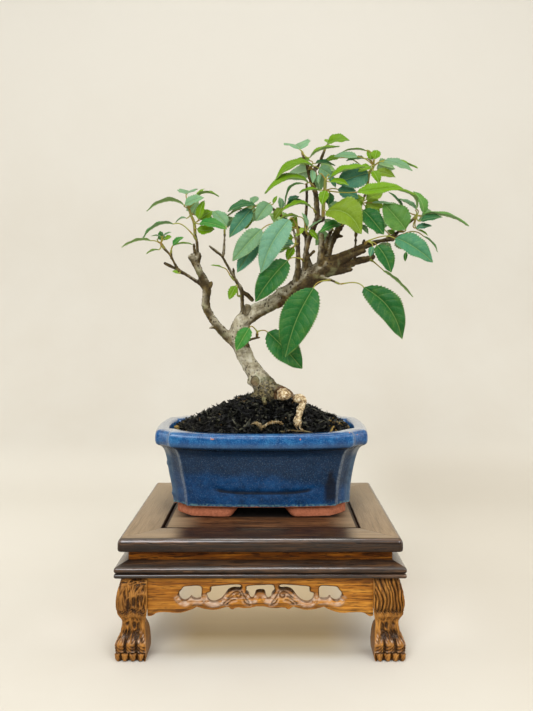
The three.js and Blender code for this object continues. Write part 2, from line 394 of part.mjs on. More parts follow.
// A three.js geometry as a solid, its corners shared where they coincide.
function solidOf(geometry) {
  const source = geometry.index ? geometry.toNonIndexed() : geometry;
  const position = source.getAttribute("position");
  const found = new Map();
  const points = [];
  const corners = [];
  for (let i = 0; i < position.count; i++) {
    const p = [position.getX(i), position.getY(i), position.getZ(i)];
    const key = p.map((v) => Math.round(v * 1e4)).join();
    if (!found.has(key)) found.set(key, points.push(p) - 1);
    corners.push(found.get(key));
  }
  const triangles = [];
  for (let i = 0; i < corners.length; i += 3) triangles.push(corners.slice(i, i + 3));
  return closedSolid(points, triangles);
}

function geometryOf(solid) {
  const { numProp, vertProperties, triVerts } = solid.getMesh();
  const corners = Array.from({ length: vertProperties.length / numProp }, (_, i) => i * numProp);
  const xyz = corners.flatMap((at) => [...vertProperties.subarray(at, at + 3)]);
  const geometry = new THREE.BufferGeometry()
    .setAttribute("position", new THREE.Float32BufferAttribute(xyz, 3));
  geometry.setIndex(Array.from(triVerts));
  geometry.computeVertexNormals();
  return geometry;
}

const union = (solids) => solids.reduce((whole, next) => whole.add(next));
const volumeOf = (solid) => solid.volume();
const largestBody = (solid) => solid.decompose().sort((a, b) => volumeOf(b) - volumeOf(a))[0];

function boxesMeet(a, b) {
  const [p, q] = [a.boundingBox(), b.boundingBox()];
  return [0, 1, 2].every((k) => p.min[k] <= q.max[k] && q.min[k] <= p.max[k]);
}

// -------------------------------------------------------------------------------------------------
// The stand
// -------------------------------------------------------------------------------------------------

const HALF = { x: STAND.width / 2, y: STAND.depth / 2 };

// The nosed profile of a top rail, from its outer bottom edge round to its inner one.
function railProfile() {
  const [top, bottom] = [STAND.height, STAND.height - TOP.thickness];
  const [nose, rise] = [2.6, 3.4];
  return [[1, bottom], [0, bottom + rise * 0.7], [0, top - rise], [nose * 0.3, top - rise * 0.3], [nose, top],
    [TOP.rail, top], [TOP.rail, bottom]];
}

function topPanel() {
  const [hx, hy] = [HALF.x - TOP.rail - TOP.panelGap, HALF.y - TOP.rail - TOP.panelGap];
  const top = STAND.height - TOP.panelSunk;
  const shape = new THREE.BoxGeometry(2 * hx, 2 * hy, TOP.panelThickness);
  return solidOf(shape.translate(TOP.panelShift, 0, top - TOP.panelThickness / 2));
}

// A batten under the panel, let into the side rails' inner edges, that the panel rests on.
function topBatten() {
  const bottom = WAIST.bottom + 1;
  const top = STAND.height - TOP.thickness;
  const shape = new THREE.BoxGeometry(2 * (HALF.x - WAIST.inset - WAIST.width) - 2 * GAP, 26, top - bottom);
  return solidOf(shape.translate(0, 0, (top + bottom) / 2));
}

const waistProfile = () => [[0, WAIST.bottom], [0, STAND.height - TOP.thickness],
  [WAIST.width, STAND.height - TOP.thickness], [WAIST.width, WAIST.bottom]];

// A sloping shoulder over a grooved lip.
function mouldingProfile() {
  const bottom = MOULDING.bottom;
  return [[0.9, bottom], [0, bottom + 0.8], [0, bottom + 2.6], [1.4, bottom + 3.6], [0, bottom + 4.6],
    [0.2, bottom + 6.6], [2, bottom + 8.4], [8.6, WAIST.bottom], [MOULDING.width, WAIST.bottom],
    [MOULDING.width, bottom]];
}

// Half of the apron's lower edge, from the leg in to the middle: [distance from the leg end, height
// above the floor].
const APRON_EDGE = [[0, 32], [3.4, 32], [7.4, 35], [24, 34.2], [30, 35.6], [36.6, 38.2],
  [37.6, 39.6], [45, 37.2],
  [52, 36.6], [61.2, 39.6], [65, 36.6], [68, 39], [76, 37.6], [86.6, 40]];

// The pierced openings left of the middle, each [distance from the middle, height above the floor] rows.
const PIERCINGS = [
  [[-62.7, 48], [-61, 53.2], [-56, 55.6], [-46, 55.6], [-45.4, 44.6], [-51, 43.2], [-53.2, 45],
    [-55.6, 42.2],
    [-61, 42.8]],
  [[-36.4, 55.6], [-15.6, 56.2], [-15.2, 50.6], [-24.6, 49.6], [-32, 41], [-38, 41.8],
    [-41.2, 46.4], [-36.6, 52.2]],
];
const MIDDLE_PIERCING = [[-11, 48.6], [-9.4, 55.6], [9.4, 55.6], [11, 48.6], [6.4, 42.8], [4, 48],
  [-4, 48],
  [-6.4, 42.8]];

// A board between two legs, the pattern drawn in or out to its length. along: half the stand's size
// along the board.
function apronBoard(along, front) {
  const top = MOULDING.bottom;
  const half = along + LEG.overhang - LEG.width;
  const stretch = half / APRON_EDGE.at(-1)[0];
  const lower = APRON_EDGE.map(([d, z]) => [d * stretch - half, z]);
  const outline = [...lower, ...lower.slice(0, -1).reverse().map(([x, z]) => [-x, z]),
    [half, top], [-half, top]];
  const shape = new THREE.Shape(outline.map(([x, z]) => new THREE.Vector2(x, z)));
  const hole = (rows, sign) => {
    const spread = rows.map(([x, z]) => new THREE.Vector2(sign * x * stretch, z));
    shape.holes.push(new THREE.Path(spread));
  };
  PIERCINGS.forEach((rows) => [1, -1].forEach((sign) => hole(rows, sign)));
  hole(MIDDLE_PIERCING, 1);
  return standingBoard(shape, -front + APRON.setback, APRON.thickness, 1);
}

// The cabriole leg: [height, inset of the outer faces, width, depth of the carved flutes, inset of
// the inner edge].
const LEG_LEVELS = [[FLOOR, 1.6, 20.6, 1.4, 1], [1.2, 0, 23.6, 1.8, 0], [6.4, -0.5, 24.4, 1.2, 0],
  [11.4, -0.4, 24, 1.6, 0], [15.5, 1.2, 22, 1.2, 0], [20.4, 3.1, 19.6, 0.7, 0.5], [28, 4, 18.6, 0.5, 3],
  [35, 0.9, 23.1, 0.6, 2], [43, 0, 24.2, 0.9, 0], [52, 1.1, 23.1, 0.9, 0], [62.7, 4.2, 20, 0.3, 0]];

// The leg's section: [across, back, flute] on a unit square whose (0, 0) is the outer front corner.
const LEG_SECTION = [[0.1, 0.03, 0], [0.24, 0, 0], [0.36, 0, 1], [0.5, 0, 0], [0.64, 0, 1], [0.8, 0, 0],
  [1, 0.05, 0], [1, 1, 0], [0.05, 1, 0], [0, 0.8, 0], [0, 0.64, 1], [0, 0.5, 0], [0, 0.36, 1],
  [0, 0.24, 0],
  [0.03, 0.1, 0]];

// sx, sy: which corner of the stand, -1 or 1 each.
function cornerLeg(sx, sy) {
  const [cx, cy] = [HALF.x + LEG.overhang, HALF.y + LEG.overhang];
  const rings = LEG_LEVELS.map(([z, inset, width, flute, hollow]) => LEG_SECTION.map(([across, back, cut]) => {
    const inner = across === 1 && back === 1 ? hollow : 0;
    const x = inset + across * width + (across === 0 ? cut * flute : 0) - inner;
    const y = inset + back * width + (back === 0 ? cut * flute : 0) - inner;
    return [sx * (cx - x), sy * (cy - y), z];
  }));
  return loft(sx * sy > 0 ? rings : rings.map((ring) => [...ring].reverse()));
}

// -------------------------------------------------------------------------------------------------
// The pot and its soil
// -------------------------------------------------------------------------------------------------

// [height above the stand, inset from the rim] up the outside, and down the inside.
const POT_OUTSIDE = [[POT.foot, 14.4], [28.7, 12.8], [45, 10.3], [55.7, 7], [60, 3], [63, 0], [73, 0],
  [POT.height, 1.2]];
const POT_INSIDE = [[POT.height, POT.rimWidth - 1], [POT.height - 1.4, POT.rimWidth],
  [55, 15], [POT.floor, 21]];
const POT_FEET = { inset: 18, width: 14, gapTop: 18, gapBottom: 25, sideGapTop: 10, sideGapBottom: 15 };
const DRAIN = { radius: 6.5, x: 36, sides: 12 };

// The pot's outline in plan at one height: sides that swell a little, corners cut off with a step
// at both ends. sag: how far the long sides dip between the corners.
function potRing(z, inset, sag = 0) {
  const [hx, hy] = [POT.width / 2 - inset, POT.depth / 2 - inset];
  const step = Math.min(POT.step, 2 + inset * 0.05);
  const flat = hx - POT.cut;
  const quarter = [[0.6 * flat, hy + 0.64 * POT.swell, 0.85], [flat, hy, 0], [flat + 0.5, hy - step, 0],
    [hx - step, hy - POT.cut + 0.5, 0], [hx, hy - POT.cut, 0]];
  const place = (sx, sy) => ([x, y, dip]) => [sx * x, sy * y + POT.y, STAND.height + z - sag * dip];
  const middle = [0, hy + POT.swell, 1];
  const side = [hx + POT.sideSwell, 0, 0];
  const back = [...quarter].reverse();
  return [...[middle, ...quarter].map(place(1, -1)), ...[side, ...back].map(place(1, 1)),
    ...[middle, ...quarter].map(place(-1, 1)), ...[side, ...back].map(place(-1, -1))];
}

// A wedge-sided slot through the foot ring, open downwards. half widths at its top and its bottom.
function footSlot(top, bottom, length, alongX) {
  const low = STAND.height - 1;
  const high = STAND.height + POT.foot;
  const profile = [[-bottom, low], [bottom, low], [top, high], [-top, high]];
  const shape = new THREE.Shape(profile.map(([x, z]) => new THREE.Vector2(x, z)));
  const board = standingBoard(shape, -length / 2, length, 1);
  return (alongX ? board.rotate([0, 0, 90]) : board).translate([0, POT.y, 0]);
}

function glazedPot() {
  const sagAt = (z) => (z > 60 ? POT.sag : 0);
  const outside = loft(POT_OUTSIDE.map(([z, inset]) => potRing(z, inset, sagAt(z))));
  const inside = loft([[POT.height + 1, POT.rimWidth - 1], ...POT_INSIDE].reverse()
    .map(([z, inset]) => potRing(z, inset, sagAt(z))));
  const foot = (inset, low, high) => loft([low, high].map((z) => potRing(z, inset)));
  const ring = foot(POT_FEET.inset, 0, POT.foot + 1)
    .subtract(foot(POT_FEET.inset + POT_FEET.width, -1, POT.foot));
  const feet = ring.subtract(footSlot(POT_FEET.gapTop, POT_FEET.gapBottom, 2 * POT.depth, false))
    .subtract(footSlot(POT_FEET.sideGapTop, POT_FEET.sideGapBottom, 2 * POT.width, true));
  const drains = [-1, 1].map((side) =>
    solidOf(new THREE.CylinderGeometry(DRAIN.radius, DRAIN.radius, 40, DRAIN.sides)
    .rotateX(Math.PI / 2).translate(side * DRAIN.x, POT.y, STAND.height + POT.floor)));
  return drains.reduce((pot, drain) => pot.subtract(drain), outside.subtract(inside).add(feet));
}

const SCREEN = { size: 24, thickness: 1 };

function drainScreen(side) {
  const z = STAND.height + POT.floor + GAP + SCREEN.thickness / 2;
  return solidOf(new THREE.BoxGeometry(SCREEN.size, SCREEN.size, SCREEN.thickness)
    .translate(side * DRAIN.x, POT.y, z));
}

// The soil: heaped round the trunk, level with the rim at the pot's wall, its crumbs raised by a formula.
const SOIL = { spokes: 22, rings: 4, peak: 29.5, edge: 4.5, crumb: 1.3, middle: { x: 4, y: 1 } };

function soilHeight(x, y, share) {
  const heap = 1 - Math.pow(share, 1.12);
  const crumbs = Math.sin(x * 0.9 + 2 * Math.sin(y * 0.6)) * Math.sin(y * 1.1 + 1.6 * Math.sin(x * 0.5));
  return STAND.height + POT.height - SOIL.edge + (SOIL.peak + SOIL.edge) * heap + SOIL.crumb * crumbs;
}

// Where the ray from the middle at this angle meets a closed outline.
function reach(outline, angle) {
  const [dx, dy] = [Math.cos(angle), Math.sin(angle)];
  let best = 0;
  outline.forEach(([ax, ay], i) => {
    const [bx, by] = outline[(i + 1) % outline.length];
    const [ex, ey] = [bx - ax, by - ay];
    const cross = dx * ey - dy * ex;
    if (Math.abs(cross) < 1e-9) return;
    const [px, py] = [ax - SOIL.middle.x, ay - SOIL.middle.y];
    const along = (px * ey - py * ex) / cross;
    const on = (px * dy - py * dx) / cross;
    if (along > 0 && on >= -1e-6 && on <= 1 + 1e-6) best = Math.max(best, along);
  });
  return best;
}

function soilHeap(wood) {
  const top = potRing(POT.height - SOIL.edge, POT.rimWidth + 2.4);
  const base = potRing(POT.floor, 21 + 2);
  const bottom = STAND.height + POT.floor + 2 * GAP + SCREEN.thickness;
  const angles = Array.from({ length: SOIL.spokes }, (_, i) => (i / SOIL.spokes) * 2 * Math.PI);
  const at = (angle, distance, z) => [SOIL.middle.x + distance * Math.cos(angle),
    SOIL.middle.y + distance * Math.sin(angle), z];
  const points = [at(0, 0, soilHeight(SOIL.middle.x, SOIL.middle.y, 0)), at(0, 0, bottom)];
  for (let r = 1; r <= SOIL.rings; r++) {
    angles.forEach((angle) => {
      const share = r / SOIL.rings;
      const [x, y] = at(angle, reach(top, angle) * share, 0);
      points.push([x, y, soilHeight(x, y, share)]);
    });
  }
  angles.forEach((angle) => points.push(at(angle, reach(base, angle), bottom)));
  const index = (ring, i) => 2 + (ring - 1) * SOIL.spokes + (i % SOIL.spokes);
  const triangles = [];
  angles.forEach((_, i) => {
    triangles.push([0, index(1, i), index(1, i + 1)],
      [1, index(SOIL.rings + 1, i + 1), index(SOIL.rings + 1, i)]);
    for (let r = 1; r <= SOIL.rings; r++) {
      const [a, b, c, d] = [index(r, i), index(r, i + 1), index(r + 1, i), index(r + 1, i + 1)];
      triangles.push([a, c, d], [a, d, b]);
    }
  });
  return largestBody(closedSolid(points, triangles).subtract(wood));
}

// -------------------------------------------------------------------------------------------------
// The tree
// -------------------------------------------------------------------------------------------------

// A place on the elevation, [x, z, y], carried along its line of sight to depth y.
function sight([x, z, y]) {
  const share = (y - VIEWPOINT.y) / -VIEWPOINT.y;
  return new THREE.Vector3(VIEWPOINT.x + (x - VIEWPOINT.x) * share, y, VIEWPOINT.z + (z - VIEWPOINT.z) * share);
}

// A round bar along a smooth curve through the points, its radius following theirs.
function taperedBar(points, radii, sides) {
  const curve = new THREE.CatmullRomCurve3(points, false, "centripetal");
  const steps = points.length - 1;
  const rings = [];
  let side = new THREE.Vector3(0, 1, 0);
  for (let s = 0; s <= steps; s++) {
    const t = s / steps;
    const along = curve.getTangent(t);
    side = side.sub(along.clone().multiplyScalar(side.dot(along))).normalize();
    const across = along.clone().cross(side);
    const radius = radii[s];
    rings.push(Array.from({ length: sides }, (_, i) => {
      const angle = (i / sides) * 2 * Math.PI;
      return points[s].clone().addScaledVector(side, radius * Math.cos(angle))
        .addScaledVector(across, radius * Math.sin(angle));
    }));
  }
  const n = sides;
  const triangles = [];
  for (let s = 0; s < steps; s++) {
    for (let i = 0; i < n; i++) {
      const [a, b] = [s * n + i, s * n + ((i + 1) % n)];
      triangles.push([a, b, b + n], [a, b + n, a + n]);
    }
  }
  for (let i = 1; i + 1 < n; i++) triangles.push([0, i + 1, i], [steps * n, steps * n + i, steps * n + i + 1]);
  return closedSolid(rings.flat(), triangles);
}

// [radius over, sides]
const LIMB_SIDES = [[7, 9], [4.5, 6], [2.8, 5], [1.5, 4], [0, 3]];
const sidesFor = (radius) => LIMB_SIDES.find(([over]) => radius > over)[1];

// All the wood in one solid. grow adds to every radius, for the hole that the wood leaves in what
// it passes.
function treeWood(grow) {
  return union(Object.values(LIMBS).map((points) => {
    const places = points.map(sight);
    if (grow > 0) {
      const first = places[1].clone().sub(places[0]).setLength(grow);
      const last = places.at(-1).clone().sub(places.at(-2)).setLength(grow);
      places[0].sub(first);
      places.at(-1).add(last);
    }
    return taperedBar(places, points.map((p) => p[3] + grow * 1.15),
      sidesFor(Math.max(...points.map((p) => p[3]))));
  }));
}

// A leaf's outline: the share of its half width at the share t of its length.
const halfWidthAt = (t) => Math.pow(Math.sin(Math.PI * Math.pow(t, 0.82)), 0.85) * (1 - 0.12 * t);

// The axes of a blade: along it, across it, and out of its upper face. A blade that points nearly
// straight back or forward has no front to turn to, so its roll is counted from straight up.
function bladeFrame(base, tip, roll) {
  const along = tip.clone().sub(base).normalize();
  const across = (direction) => direction.addScaledVector(along, -direction.dot(along));
  const facing = across(new THREE.Vector3(0, -1, 0));
  const upward = across(new THREE.Vector3(0, 0, 1)).normalize();
  const endOn = facing.length() < 0.5;
  const angle = THREE.MathUtils.degToRad(endOn ? roll - 90 : roll);
  facing.normalize();
  const sideways = endOn ? along.clone().cross(upward) : along.clone().cross(facing);
  if (!endOn && sideways.z < 0) sideways.negate();
  const normal = (endOn ? upward : facing).multiplyScalar(Math.cos(angle))
    .addScaledVector(sideways, Math.sin(angle));
  return { along, normal, across: normal.clone().cross(along) };
}

const archAt = (arch, t) => arch * Math.sin(Math.PI * Math.pow(t, 0.75));

// A leaf: its stalk from the shoot's nearest joint, a tube of three sides that opens into a folded,
// arched blade with a toothed edge, thickest at its midrib and sharp at its edge. grow swells it
// all round.
function leaf([bx, bz, by, tx, tz, ty, width, roll, arch, , sweep = 0], stem, grow) {
  const [base, tip] = [sight([bx, bz, by]), sight([tx, tz, ty])];
  const length = base.distanceTo(tip);
  const { along, normal, across } = bladeFrame(base, tip, roll);
  const ribs = BLADE.ribSpans.find(([under]) => length < under)[1];
  const edges = 2 * ribs;

  const joints = stem.slice(1).map(sight);
  const joint = joints.reduce((best, p) => (p.distanceTo(base) < best.distanceTo(base) ? p : best));
  const start = joint.clone().addScaledVector(base.clone().sub(joint).normalize(), PETIOLE.offset);
  const lead = base.clone().addScaledVector(along, -0.35 * start.distanceTo(base));
  const curve = new THREE.CubicBezierCurve3(start, start.clone().lerp(lead, 0.6), lead, base);
  const stalk = [];
  let side = across.clone();
  for (let i = PETIOLE.spans; i >= 0; i--) {
    const heading = i === PETIOLE.spans ? along : curve.getTangent(i / PETIOLE.spans);
    side = side.clone().addScaledVector(heading, -side.dot(heading)).normalize();
    const up = heading.clone().cross(side);
    const place = curve.getPoint(i / PETIOLE.spans);
    const out = (u, v) => place.clone().addScaledVector(side, u * (PETIOLE.radius + grow))
      .addScaledVector(up, v * (PETIOLE.radius + grow));
    stalk.unshift(out(0.87, -0.5), out(0, 1), out(-0.87, -0.5));
  }

  const rib = (t, face) => base.clone().addScaledVector(along, t * length)
    .addScaledVector(normal, archAt(arch, t) + face * (BLADE.thickness / 2 + grow))
    .addScaledVector(across, sweep * Math.sin(Math.PI * t));
  const edge = (k, hand) => {
    const t = k / edges;
    const out = (width / 2) * halfWidthAt(t) * (1 + (k % 2 ? BLADE.tooth : -BLADE.tooth)) + grow;
    const lift = out * Math.sin(BLADE.fold) + (width / 2) * BLADE.wave * Math.sin(k * 2.4 + hand + width);
    return rib(t, 0).addScaledVector(across, hand * out * Math.cos(BLADE.fold)).addScaledVector(normal, lift);
  };
  const points = [...stalk];
  const row = (first, made) => [first, ...made.map((p) => points.push(p) - 1)];
  const [right, top, left] = [stalk.length - 3, stalk.length - 2, stalk.length - 1];
  const inner = (count, make) => Array.from({ length: count - 1 }, (_, i) => make(i + 1));
  const upper = row(top, inner(ribs, (i) => rib(i / ribs, 1)));
  const lower = row(-1, inner(ribs, (i) => rib(i / ribs, -1)));
  const rightEdge = row(right, inner(edges, (k) => edge(k, 1)));
  const leftEdge = row(left, inner(edges, (k) => edge(k, -1)));
  const end = points.push(rib(1, 0).addScaledVector(along, grow)) - 1;
  [upper, lower, rightEdge, leftEdge].forEach((line) => line.push(end));

  const triangles = [[0, 2, 1], [left, right, lower[1]]];
  for (let j = 0; j < stalk.length - 3; j += 3) {
    for (let i = 0; i < 3; i++) {
      const [p, q] = [j + i, j + ((i + 1) % 3)];
      triangles.push([p, q, q + 3], [p, q + 3, p + 3]);
    }
  }
  for (const [ribLine, edgeLine, turn] of [[upper, rightEdge, false], [upper, leftEdge, true],
    [lower, leftEdge, false], [lower, rightEdge, true]]) {
    for (let i = 0; i < ribs; i++) {
      const m0 = ribLine[i] < 0 ? edgeLine[0] : ribLine[i];
      const [m1, e0, e1, e2] = [ribLine[i + 1], edgeLine[2 * i], edgeLine[2 * i + 1], edgeLine[2 * i + 2]];
      for (const [p, q, r] of [[m0, e1, e0], [m0, m1, e1], [m1, e2, e1]]) {
        if (p !== q && q !== r && p !== r) triangles.push(turn ? [p, r, q] : [p, q, r]);
      }
    }
  }
  return closedSolid(points, triangles);
}

function leafyShoot({ stem, leaves }, grow) {
  const places = stem.map(sight);
  const onward = places.at(-1).clone().sub(places.at(-2)).setLength(2 * PETIOLE.offset + grow);
  places.at(-1).add(onward);
  const bar = taperedBar(places, stem.map((p) => p[3] + grow), 4);
  return union([bar, ...leaves.map((row) => leaf(row, stem, grow))]);
}

// Every shoot, cut clear of the wood and of the shoots before it.
function allShoots(hole) {
  const placed = [];
  return Object.entries(SHOOTS).map(([name, shoot]) => {
    let solid = leafyShoot(shoot, 0).subtract(hole);
    placed.filter((other) => boxesMeet(solid, other)).forEach((other) => {
      solid = solid.subtract(other);
    });
    placed.push(leafyShoot(shoot, GAP));
    return [name, largestBody(solid)];
  });
}

// -------------------------------------------------------------------------------------------------
// Assembly
// -------------------------------------------------------------------------------------------------

const group = new THREE.Group();

function add(name, solid, colour) {
  const material = new THREE.MeshStandardMaterial({ metalness: 0, ...COLOURS[colour] });
  const mesh = new THREE.Mesh(geometryOf(solid), material);
  mesh.name = name;
  group.add(mesh);
}

const turned = (solid) => solid.rotate([0, 0, 90]);
const turnedBack = (solid) => solid.rotate([0, 0, 180]);

const frontRail = mitredBar(railProfile(), HALF.x, HALF.y);
const sideRail = mitredBar(railProfile(), HALF.y, HALF.x);
add("top_rail_front", frontRail, "darkWood");
add("top_rail_back", turnedBack(frontRail), "darkWood");
add("top_rail_right", turned(sideRail), "darkWood");
add("top_rail_left", turnedBack(turned(sideRail)), "darkWood");
add("top_panel", topPanel(), "panelWood");
add("top_batten", topBatten(), "panelWood");
add("waist_frame", mitredFrame(waistProfile(), HALF.x - WAIST.inset, HALF.y - WAIST.inset), "lightWood");
add("moulding_frame",
  mitredFrame(mouldingProfile(), HALF.x + MOULDING.overhang, HALF.y + MOULDING.overhang), "darkWood");

const frontApron = apronBoard(HALF.x, HALF.y);
const sideApron = apronBoard(HALF.y, HALF.x);
add("apron_front", frontApron, "lightWood");
add("apron_back", turnedBack(frontApron), "lightWood");
add("apron_right", turned(sideApron), "lightWood");
add("apron_left", turnedBack(turned(sideApron)), "lightWood");

for (const [name, sx, sy] of [["front_left", -1, -1], ["front_right", 1, -1],
  ["back_right", 1, 1], ["back_left", -1, 1]]) {
  add(`leg_${name}`, cornerLeg(sx, sy), "lightWood");
}

const wood = treeWood(0);
const woodHole = treeWood(GAP);
add("pot", glazedPot(), "glaze");
add("drain_screen_left", drainScreen(-1), "screen");
add("drain_screen_right", drainScreen(1), "screen");
add("soil", soilHeap(woodHole), "soil");
add("tree_wood", wood, "bark");
for (const [name, solid] of allShoots(woodHole)) add(name, solid, "leaf");

// The origin is the middle of the underside of the whole object's box.
const extent = new THREE.Box3().setFromObject(group);
const middle = extent.getCenter(new THREE.Vector3());
group.position.set(-middle.x, -middle.y, -extent.min.z);

export default group;
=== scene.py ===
import math
import random

import bpy
import numpy as np
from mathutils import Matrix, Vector, noise
from mathutils.kdtree import KDTree


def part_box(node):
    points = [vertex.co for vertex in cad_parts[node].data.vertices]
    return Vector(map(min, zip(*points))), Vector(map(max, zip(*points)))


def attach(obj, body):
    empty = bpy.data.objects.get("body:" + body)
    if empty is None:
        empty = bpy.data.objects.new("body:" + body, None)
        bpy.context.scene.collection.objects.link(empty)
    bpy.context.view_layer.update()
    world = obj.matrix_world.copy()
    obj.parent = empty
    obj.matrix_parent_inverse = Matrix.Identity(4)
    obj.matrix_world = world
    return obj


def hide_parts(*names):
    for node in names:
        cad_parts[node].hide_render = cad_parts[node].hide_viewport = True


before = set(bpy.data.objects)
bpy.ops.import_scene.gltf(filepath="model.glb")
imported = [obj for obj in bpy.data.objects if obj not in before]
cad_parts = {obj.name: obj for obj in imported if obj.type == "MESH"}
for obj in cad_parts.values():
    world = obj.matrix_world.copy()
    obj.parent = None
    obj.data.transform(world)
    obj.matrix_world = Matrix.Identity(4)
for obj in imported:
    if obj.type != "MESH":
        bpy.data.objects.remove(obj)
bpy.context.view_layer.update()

# The looks of a crabapple bonsai on its stand. Places are in millimetres in the stand's own frame, x to the right,
# y back, z up from a line 1.2 above the floor, and put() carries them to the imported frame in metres.
# The tree's places are [x, z, y], on its front elevation as seen from VIEWPOINT. sight() carries them to depth y.
# Colours are sRGB, 0 to 255.

MM = 0.001
FLOOR = -1.2
VIEWPOINT = Vector((8.2, -669.5, 263.2))
PHOTO_HEIGHT = 711
LEGS_LOW, LEGS_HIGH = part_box("leg_front_left")[0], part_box("leg_back_right")[1]
ORIGIN = np.array([(LEGS_LOW.x + LEGS_HIGH.x) / 2, (LEGS_LOW.y + LEGS_HIGH.y) / 2, LEGS_LOW.z - FLOOR * MM])
MIDDLE_X, MIDDLE_Y, BASE_Z = ORIGIN / MM        # the stand frame's origin, where materials read their places
CORNERS = ((-1, -1), (1, -1), (1, 1), (-1, 1))
RNG = random.Random(7)
noise.seed_set(7)       # noise_vector starts from the clock otherwise


def put(points):
    return ORIGIN + np.asarray(points, float).reshape(-1, 3) * MM


def sight(x, z, y):
    share = (y - VIEWPOINT.y) / -VIEWPOINT.y
    return Vector((VIEWPOINT.x + (x - VIEWPOINT.x) * share, y, VIEWPOINT.z + (z - VIEWPOINT.z) * share))


def rows_of(text):
    return [[float(v) for v in row.split()] for row in text.split(",")]


def smooth(edge0, edge1, value):
    t = np.clip((value - edge0) / (edge1 - edge0), 0, 1)
    return t * t * (3 - 2 * t)


